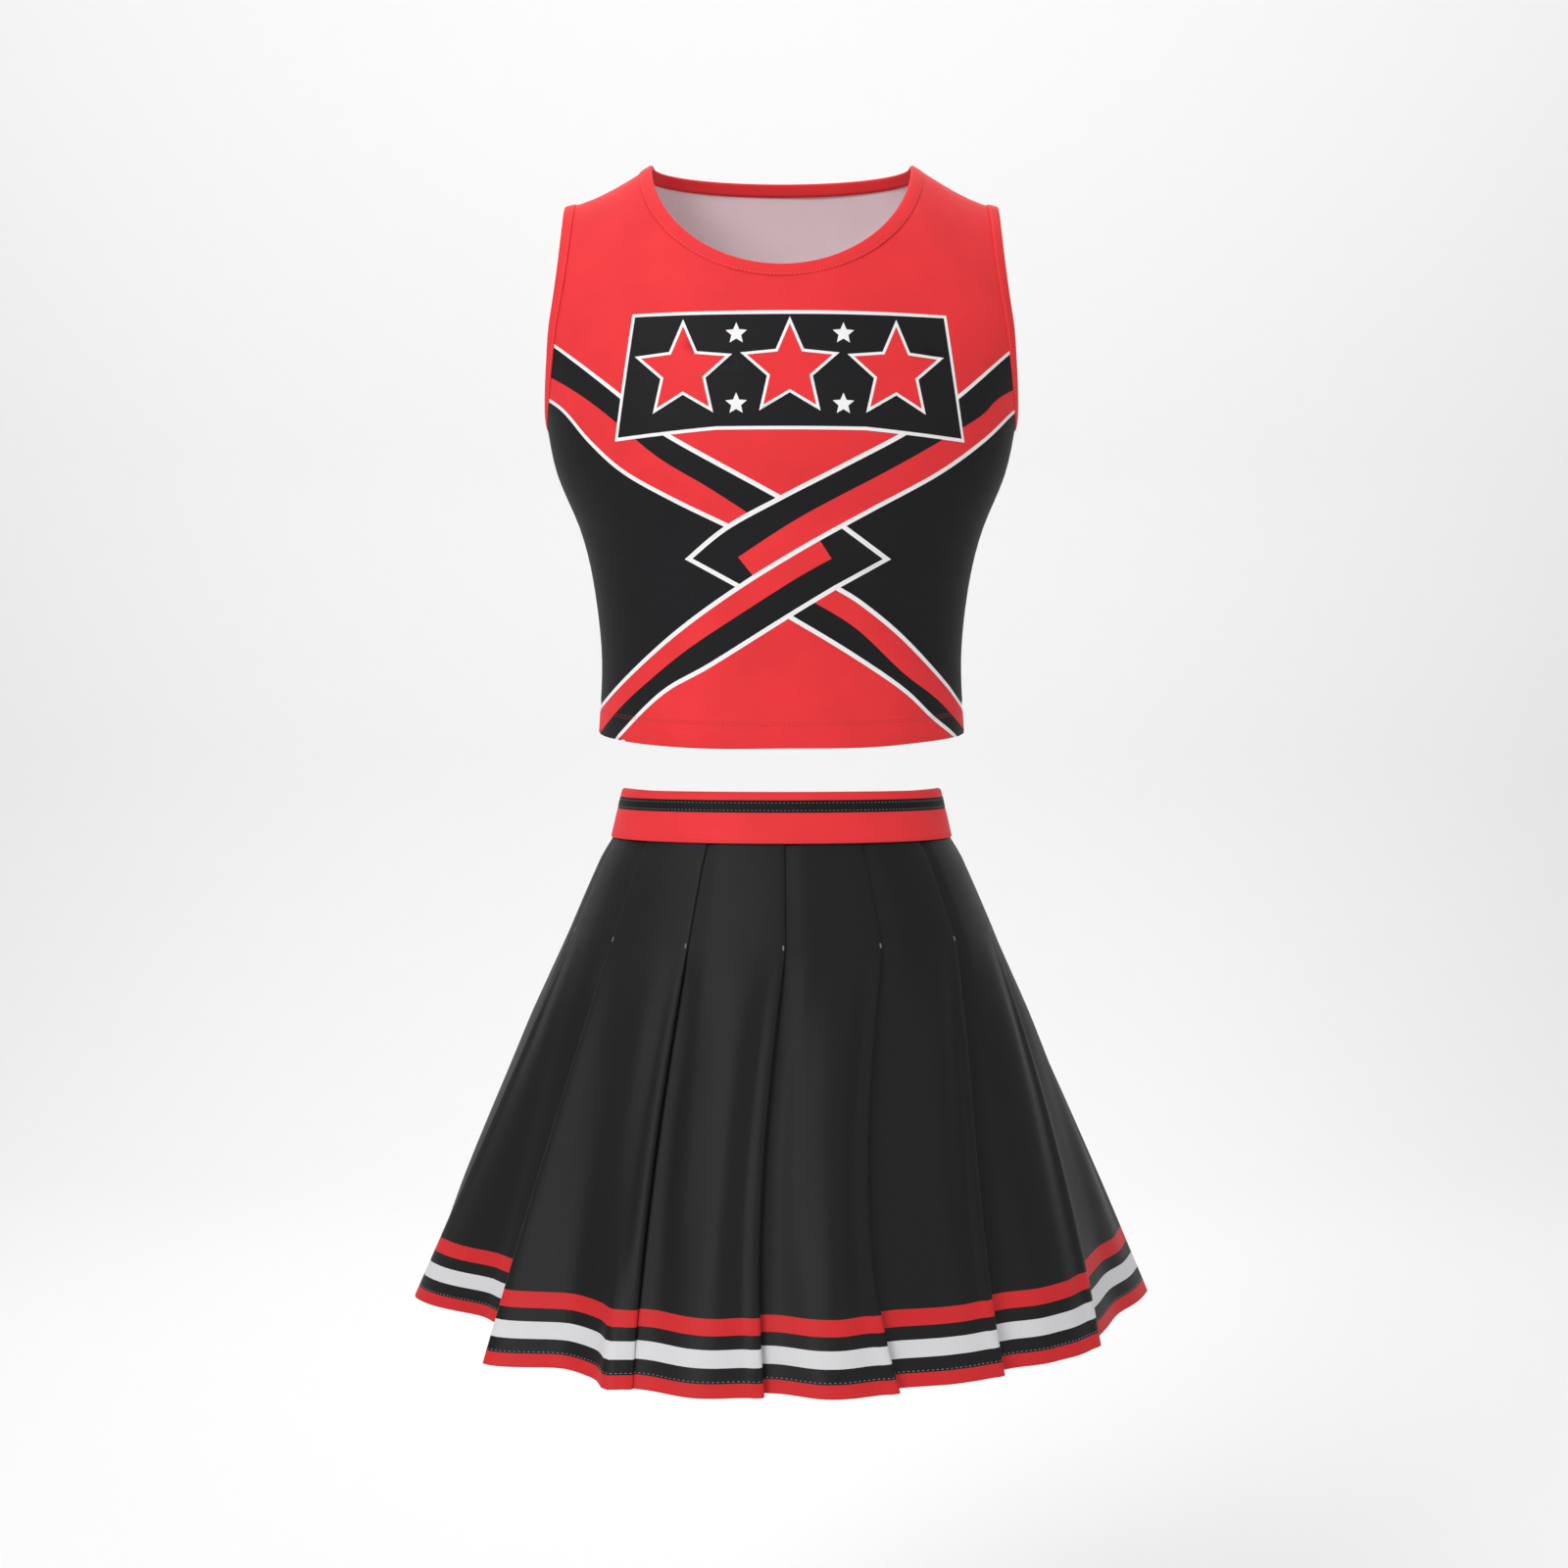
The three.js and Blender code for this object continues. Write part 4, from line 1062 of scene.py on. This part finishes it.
# How a fold lies at the hem: its outer edge out from the cone, the step in to its neighbour, and
# how much further in the neighbour's hidden end lies.
FOLD = (0.006, 0.010, 0.0)
ODD_FOLDS = {
    -3: (0.006, 0.014, 0.040),
    -2: (0.0175, 0.066, 0.0),
    -1: (0.009, 0.002, 0.024),
    0: (0.010, 0.010, 0.0),
    1: (0.011, 0.010, 0.0),
    4: (0.006, 0.010, 0.018),
}
BOX_FOLDS = (-2, -1)                 # the two folds of the box pleat, which tuck less deeply
FACE_WAVE = [(0, 0), (0.2, -0.0030), (0.66, 0.0034), (0.9, -0.0010), (0.965, 0.0008), (1, 0)]
FACE_DRIFT = 0.0040                  # how far a face may wander from that wave by the hem
# How far out the middle of a pleat lies at the hem.
FACE_LEVEL = 0.004
ODD_FACE_LEVELS = {-3: -0.036, -2: -0.010, -1: 0.012, 0: 0.012, 3: -0.012}
# The hem's stripes from the bottom: how far up the cloth each one ends, and its colour.
STRIPES = [(0.0090, "red"), (0.0188, "black"), (0.0303, "white"), (0.0392, "black"), (0.0502, "red")]
CLOTH_TO_FALL = 1.07                 # the cloth is this much longer than its fall
HEM_STITCH_HEIGHT = 0.0100


def fold_angle(k, fall):
    bow = 4 * FOLD_BOWS.get(k, 0) * fall * (1 - fall)
    return lerp(FIRST_FOLD + PLEAT_PITCH * k, HEM_FOLDS[k + 6], fall) + bow


def folds_left(k):
    """Whether fold k opens towards the wearer's left."""
    return -1 <= k <= 7


# Where a fold's return turns in round the neighbour's hidden end, so that no light shows between
# them: how far along the return, how clear of that end, and how much further and deeper it goes.
TURN_START = 7 / 8
TURN_CLEARANCE = 0.0015
TURN_REACH = 0.0065
TURN_DEPTH = 0.016


class Section:
    """A pleat's section at one height. along runs round the skirt from the pleat's first fold, and
    out is the distance from the cone."""

    def __init__(self, k, fall, width):
        self.rise = fall ** 1.1
        self.width = width
        self.fall = fall
        self.start = self.side(k, not folds_left(k))
        self.end = self.side(-6 if k == 7 else k + 1, folds_left(k + 1))
        level = ODD_FACE_LEVELS.get(k, FACE_LEVEL)
        self.middle = lerp(0.0003, level, self.rise)
        self.settle = 0.5 if level < 0 else lerp(0.25, 0.5, self.rise)

    def side(self, fold, outer):
        highest, step, lean = ODD_FOLDS.get(fold, FOLD)
        share = BOX_TUCK_SHARE if fold in BOX_FOLDS else 1
        at_hem = SOFT_FOLD_AT_HEM if fold == SOFT_FOLD else FOLD_AT_HEM
        radius = through([(0, FOLD_AT_RELEASE), (0.2, 0.0016), (0.7, 0.0024), (1, at_hem)], self.fall)
        top = lerp(0.0003, highest, self.rise)
        opening = smoothstep(self.fall, 0.0, 0.08) * (1 - smoothstep(step, 0.004, 0.002) * self.rise)
        gap = lerp(0.0005, 0.002, opening)
        bottom = top - max(2 * radius + gap, step * self.rise)
        return {"outer": outer, "tuck": lerp(TUCK_AT_RELEASE, TUCK_AT_HEM, self.fall) * share,
                "far": bottom - lean * self.rise, "turned": bottom - 1.5 * lean - TURN_DEPTH,
                "level": top if outer else bottom, "radius": radius}

    def face(self, share):
        left = self.start["radius"] if self.start["outer"] else 0
        right = self.end["radius"] if self.end["outer"] else 0
        near = self.start["level"] if share < 0.5 else self.end["level"]
        ease = smoothstep(min(share, 1 - share), 0, self.settle)
        return lerp(left, self.width - right, share), lerp(near, self.middle, ease)

    def edge(self, at_end):
        """A side, where its edge is, and the direction in from it."""
        return (self.end, self.width, -1) if at_end else (self.start, 0, 1)

    def hidden(self, at_end, share):
        side, edge, inward = self.edge(at_end)
        if side["outer"]:
            before = min(share / TURN_START, 1)
            turned = max(share - TURN_START, 0) / (1 - TURN_START) * self.rise
            depth = lerp(side["radius"], side["tuck"] + TURN_CLEARANCE, before) + TURN_REACH * turned
            under = side["level"] - 2 * side["radius"]
            level = lerp(under, (self.middle + side["far"]) / 2, before)
            return edge + inward * depth, lerp(level, side["turned"], turned)
        return edge - inward * side["tuck"] * share, lerp(side["level"], side["far"], share)

    def fold(self, at_end, share):
        side, edge, inward = self.edge(at_end)
        turn = math.pi * share
        along = edge + inward * side["radius"] * (1 - math.sin(turn))
        return along, side["level"] - side["radius"] * (1 - math.cos(turn))


HIDDEN_COLUMNS = 8
FOLD_COLUMNS = 6
FACE_COLUMNS = 24
# The tops of a pleat's zones above the stripes, and how many rows each has.
PLEAT_ZONES = [(RELEASE_HEIGHT - 0.030, 17), (RELEASE_HEIGHT + 0.010, 8), (YOKE_SHOULDER - 0.001, 8)]


def pleat_stops(k):
    """The pleat's columns from one hidden end to the other: (kind, at_end, share)."""
    def run(kind, at_end, start, end, columns):
        return [(kind, at_end, share) for share in np.linspace(start, end, columns + 1)[1:]]

    stops = [("hidden", False, 1.0)] + run("hidden", False, 1, 0, HIDDEN_COLUMNS)
    if not folds_left(k):
        stops += run("fold", False, 1, 0, FOLD_COLUMNS)
    stops += run("face", False, 0, 1, FACE_COLUMNS)
    if folds_left(k + 1):
        stops += run("fold", True, 0, 1, FOLD_COLUMNS)
    return stops + run("hidden", True, 0, 1, HIDDEN_COLUMNS)


def section_point(section, stop):
    kind, at_end, share = stop
    if kind == "face":
        return section.face(share)
    return section.hidden(at_end, share) if kind == "hidden" else section.fold(at_end, share)


def pleat_rows():
    """Heights of the pleat's rows from the hem up, with one at each edge of each stripe."""
    edges = [HEM_LEVEL + top / CLOTH_TO_FALL for top, _ in STRIPES]
    rows = [HEM_LEVEL]
    for low, high in zip([HEM_LEVEL] + edges, edges):
        rows += [lerp(low, high, share) for share in (0.12, 0.5, 0.88, 1.0)]
    low = edges[-1]
    for high, count in PLEAT_ZONES:
        rows += evenly(low, high, count)[1:]
        low = high
    return rows + [YOKE_SHOULDER + 0.006]


def pleat_angles(k, z, fall):
    """The pleat's first and last angles. Beside the zip they stop at the zip's edge."""
    first = fold_angle(k, fall)
    last = fold_angle(k + 1, fall)
    beside = smoothstep(z, ZIP_FOOT - 0.016, ZIP_FOOT)
    edge = zip_edge(through(SKIRT_HALF_WIDTH, z))
    if k == 6:
        last = lerp(last, edge, beside)
    if k == 7:
        first = lerp(first, 360 - edge, beside)
    return first, last, beside


def drape(k, share, fall):
    """How far a pleat's face waves out: hollow beside the fold that covers it, full beyond."""
    along = share if folds_left(k + 1) else 1 - share
    wave = through(FACE_WAVE, along) * clamp(fall * 4) * lerp(1, 0.35, smoothstep(fall, 0.7, 1))
    drift = noise.noise(Vector((k * 3.1, share * 2.2, fall * 2.5)))
    crest = 0.0
    if k + 1 == SOFT_FOLD:
        crest = SOFT_CREST * math.exp(-((share - 0.86) / 0.08) ** 2) * smoothstep(fall, 0.6, 1)
    return wave + FACE_DRIFT * drift * fall * math.sin(math.pi * share) ** 2 + crest


def pleat_point(k, z, stop, top_row):
    kind, at_end, share = stop
    fall = clamp((RELEASE_HEIGHT - z) / (RELEASE_HEIGHT - HEM_LEVEL))
    first, last, beside = pleat_angles(k, z, fall)
    near = cone_point(first, z, 0)
    width = (cone_point(last, z, 0) - near).length
    section = Section(k, fall, width)
    along, out = section_point(section, stop)
    if kind == "face":
        out += drape(k, share, fall)
    if k == 7 and kind == "hidden" and not at_end:
        # Beside the zip this allowance is folded back under its own face.
        along = lerp(along, -along, beside)
        out -= 0.0006 * beside
    angle = lerp(first, last, along / width)
    if top_row and kind != "face":
        z = -BAND_HEIGHT - 0.0006
    sink = 0.0004 * smoothstep(z, YOKE_SHOULDER - 0.002, YOKE_SHOULDER + 0.001)
    rise = clamp((z - RELEASE_HEIGHT) / (YOKE_SHOULDER - RELEASE_HEIGHT))
    return cone_point(angle, z, out - SKIRT_PLY / 2 - sink, waist_rise(angle) * rise)


STRIPE_MATERIALS = {"black": SKIRT_BLACK, "red": STRIPE_RED, "white": STRIPE_WHITE}
PLEAT_MATERIALS = [SKIRT_BLACK, STRIPE_RED, STRIPE_WHITE, GREY_THREAD]


def stripe_slot(z):
    """The material of the pleat's cloth at a height."""
    height = (z - HEM_LEVEL) * CLOTH_TO_FALL
    for top, colour in STRIPES:
        if height < top:
            return PLEAT_MATERIALS.index(STRIPE_MATERIALS[colour])
    return 0


def hem_stitches(grid, rows):
    """The hem's coverstitch, just above its lowest stripe, on the pleat's face and folds."""
    level = HEM_LEVEL + HEM_STITCH_HEIGHT / CLOTH_TO_FALL
    at = min(range(len(rows)), key=lambda r: abs(rows[r] - level))
    line = grid[at]
    along = np.gradient(grid, axis=1)[at]
    up = np.gradient(grid, axis=0)[at]
    normals = np.cross(along, up)
    normals /= np.linalg.norm(normals, axis=1, keepdims=True)
    path = line + normals * SKIRT_PLY / 2
    return stitch_row(path, normals, HEM_STITCH)


def pleat(k):
    number = f"{k + 7:02d}"
    stops = pleat_stops(k)
    rows = pleat_rows()
    grid = grid_of(rows, stops, lambda z, stop: pleat_point(k, z, stop, z == rows[-1]))
    row_slots = [stripe_slot((low + high) / 2) for low, high in zip(rows, rows[1:])]
    vertices, faces, slots, flat = closed_sheet(grid, SKIRT_PLY, row_slots)
    points, more = hem_stitches(grid, rows)
    base = len(vertices)
    vertices = np.concatenate([vertices, np.array(points)])
    faces += [tuple(base + i for i in face) for face in more]
    slots += [PLEAT_MATERIALS.index(GREY_THREAD)] * len(more)
    flat = np.concatenate([flat, np.zeros((len(points), 2))])
    piece = make(f"pleat_cloth_{number}", vertices, faces, slots, PLEAT_MATERIALS, flat)
    middle = cone_point((fold_angle(k, 0) + fold_angle(k + 1, 0)) / 2, RELEASE_HEIGHT, 0)
    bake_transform(piece)
    region = "front" if -4 <= k <= 3 else ("back_left" if k > 3 else "back_right")
    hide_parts(f"pleat_{number}", f"skirt_yoke_{region}")


BARTACK_TURNS = 5
BARTACK_PITCH = 0.0007
BARTACK_HALF_WIDTH = 0.0011
BARTACK_RISE = 0.001                 # above the release line
BARTACK_SHIFT = 0.5                  # from the fold on to the pleat it closes, in degrees


def bartack(angle, z):
    """A dense bar of thread across the top of a pleat's opening: its points and faces."""
    lift = 0.0004
    centre = cone_point(angle, z, lift)
    up = (cone_point(angle, z + 0.002, lift) - centre).normalized()
    outward = (cone_point(angle, z, 0.002) - centre).normalized()
    across = up.cross(outward) * BARTACK_HALF_WIDTH
    half_turn = up * BARTACK_PITCH / 2
    points = []
    faces = []
    for i in range(BARTACK_TURNS):
        middle = centre + up * BARTACK_PITCH * (i - BARTACK_TURNS / 2)
        corners = [middle - across, middle - half_turn, middle + across, middle + half_turn]
        add_diamond(points, faces, corners, middle + outward * 0.0005, middle - outward * 0.0003)
    return points, faces


def bartacks():
    rows = []
    for k in range(-6, 7):
        shift = -BARTACK_SHIFT if folds_left(k) else BARTACK_SHIFT
        rows.append(bartack(fold_angle(k, 0) + shift, RELEASE_HEIGHT + BARTACK_RISE))
    piece = stitched("pleat_bartacks", rows, GREY_THREAD)
    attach(piece, "skirt")


# ---- the zip and the hook

COIL_LOW, COIL_HIGH = -0.084, -0.012
COIL_PITCH = 0.0014
COIL_HALF_WIDTH, COIL_HALF_DEPTH = 0.00065, 0.00050
COIL_CENTRE = 0.0017                 # sideways from the zip's middle
COIL_FACE = -0.0021
COIL_YARN = 0.00026
ZIP_TAPE_PLY = 0.0004
ZIP_TAPE_LOW, ZIP_TAPE_HIGH = -0.092, -0.008
ZIP_TAPE_INNER = 0.0011
ZIP_TAPE_WIDE, ZIP_TAPE_NARROW = 0.013, 0.0037
ZIP_TAPE_STEP = (-0.043, -0.040)     # it narrows between these, to pass inside the waistband
ZIP_TAPE_FACE = -0.0038


def zip_frame(x, y, z):
    """A point given in the zip's own frame: z up along it, y outwards."""
    turn = math.radians(ZIP_SLOPE)
    top = WAIST_HALF_DEPTH + math.tan(turn) * BACK_WAIST_DIP
    return Vector((x, top + y * math.cos(turn) - z * math.sin(turn),
                   -BACK_WAIST_DIP + y * math.sin(turn) + z * math.cos(turn)))


def coil(name, hand, node):
    """One side of the zip's chain: a flattened nylon coil."""
    steps = 12
    sides = 6
    turns = int((COIL_HIGH - COIL_LOW) / COIL_PITCH)
    points = []
    faces = []
    for i in range(turns * steps + 1):
        turn = 360 * i / steps
        here = Vector((hand * COIL_CENTRE + COIL_HALF_WIDTH * cosine(turn),
                       COIL_FACE + COIL_HALF_DEPTH * sine(turn), COIL_LOW + COIL_PITCH * (i / steps)))
        out = Vector((cosine(turn), sine(turn), 0))
        for s in range(sides):
            round_it = 360 * s / sides
            offset = (out * cosine(round_it) + Vector((0, 0, sine(round_it)))) * COIL_YARN
            points.append(zip_frame(*(here + offset)))
    for i in range(turns * steps):
        for s in range(sides):
            a, b = i * sides + s, i * sides + (s + 1) % sides
            faces.append((a, a + sides, b + sides, b))
    last = turns * steps * sides
    faces.append(tuple(range(sides)))
    faces.append(tuple(last + s for s in reversed(range(sides))))
    piece = make(name, points, faces, [0] * len(faces), [COIL_NYLON])
    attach(piece, "skirt")
    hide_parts(node)


def finish_steel(node, bevel):
    """Gives a CAD node the steel's material, and rounds its edges."""
    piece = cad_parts[node]
    piece.data.materials.clear()
    piece.data.materials.append(STEEL)
    edge = piece.modifiers.new("edges", "BEVEL")
    edge.width = bevel
    edge.segments = 2
    edge.limit_method = "ANGLE"


def zip_tape(name, hand, node):
    """A woven tape beside the chain."""
    def place(z, share):
        outer = lerp(ZIP_TAPE_WIDE, ZIP_TAPE_NARROW, smoothstep(z, *ZIP_TAPE_STEP))
        return zip_frame(lerp(ZIP_TAPE_INNER, outer, share) * hand, ZIP_TAPE_FACE, z)

    points = grid_of(evenly(ZIP_TAPE_LOW, ZIP_TAPE_HIGH, 40), evenly(0, 1, 6), place)
    if hand > 0:
        points = points[:, ::-1]
    piece = cloth_piece(name, points, ZIP_TAPE_PLY, [TAPE_BLACK])
    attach(piece, "skirt")
    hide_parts(node)


# The steel pieces of the closure, and how far their edges are rounded.
STEEL_PIECES = {
    "zip_top_stop_left": 0.0002,
    "zip_top_stop_right": 0.0002,
    "zip_bottom_stop": 0.0003,
    "zip_slider": 0.00025,
    "zip_pull_tab": 0.00025,
    "waist_hook": 0.0002,
    "waist_bar": 0.00015,
}


def closure():
    for hand, side in ((1, "left"), (-1, "right")):
        zip_tape(f"zip_tape_cloth_{side}", hand, f"zip_tape_{side}")
        coil(f"zip_coil_thread_{side}", hand, f"zip_coil_{side}")
    for node, bevel in STEEL_PIECES.items():
        finish_steel(node, bevel)


# ---- the studio

FLOOR_LEVEL = -0.95
FLOOR_FRONT = -6.0
BACKDROP_Y = 3.2
BACKDROP_TOP = 3.0
BACKDROP_RADIUS = 0.8
BACKDROP_HALF_WIDTH = 7.0
WORLD_LIGHT = 0.36
# Each area light's place, the point it faces, its width and height, and its watts.
LIGHTS = {
    "key": ((-1.5, -2.2, 1.6), (0.0, 0.0, 0.05), (1.2, 1.4), 52),
    "fill": ((1.9, -2.2, 0.7), (0.0, 0.0, 0.0), (1.4, 1.8), 13),
    "top": ((0.0, 0.3, 2.6), (0.0, 0.0, 0.0), (2.4, 2.4), 16),
    "rim": ((0.0, 2.4, 1.7), (0.0, 0.0, 0.1), (2.4, 1.6), 18),
    "backdrop": ((0.0, 0.9, 2.8), (0.0, 3.2, 0.1), (6.5, 1.0), 66),
}
CAMERA_PLACE = (0.0019, -1.667, 0.123)
CAMERA_PITCH = 4.118                 # below the level
LENS, SENSOR = 50, 36


def studio():
    """A pale floor that curves up into a backdrop, well below and behind the uniform."""
    foot = BACKDROP_Y - BACKDROP_RADIUS
    steps = 12
    profile = [(FLOOR_FRONT, FLOOR_LEVEL), (foot, FLOOR_LEVEL)]
    for k in range(1, steps + 1):
        turn = 90 * k / steps
        profile.append((foot + BACKDROP_RADIUS * sine(turn),
                        FLOOR_LEVEL + BACKDROP_RADIUS * (1 - cosine(turn))))
    profile.append((BACKDROP_Y, BACKDROP_TOP))
    sides = (-BACKDROP_HALF_WIDTH, BACKDROP_HALF_WIDTH)
    points = [(x, y, z) for y, z in profile for x in sides]
    faces = [(2 * i, 2 * i + 1, 2 * i + 3, 2 * i + 2) for i in range(len(profile) - 1)]
    piece = make("studio_floor", points, faces, [0] * len(faces), [STUDIO_PAPER])


def area_light(name, place, target, size, power):
    lamp = bpy.data.lights.new(name, "AREA")
    lamp.shape = "RECTANGLE"
    lamp.size, lamp.size_y = size
    lamp.energy = power
    light = bpy.data.objects.new(name, lamp)
    light.location = place
    light.rotation_euler = (Vector(target) - Vector(place)).to_track_quat("-Z", "Y").to_euler()
    bpy.context.scene.collection.objects.link(light)


def lights():
    for name, (place, target, size, power) in LIGHTS.items():
        area_light(name, place, target, size, power)
    world = bpy.data.worlds.new("studio")
    world.use_nodes = True
    background = world.node_tree.nodes["Background"]
    background.inputs["Color"].default_value = (1, 1, 1, 1)
    background.inputs["Strength"].default_value = WORLD_LIGHT
    bpy.context.scene.world = world
    bpy.context.scene.view_settings.view_transform = "Standard"


def camera():
    lens = bpy.data.cameras.new("camera")
    lens.lens = LENS
    lens.sensor_width = SENSOR
    piece = bpy.data.objects.new("camera", lens)
    piece.location = CAMERA_PLACE
    piece.rotation_euler = (math.radians(90 - CAMERA_PITCH), 0, 0)
    bpy.context.scene.collection.objects.link(piece)
    bpy.context.scene.camera = piece


camera()
studio()
lights()
crop_top()
for waist_piece in WAIST_PIECES:
    waistband(waist_piece)
    interlining(waist_piece)
for pleat_fold in range(-6, 8):
    pleat(pleat_fold)
bartacks()
closure()
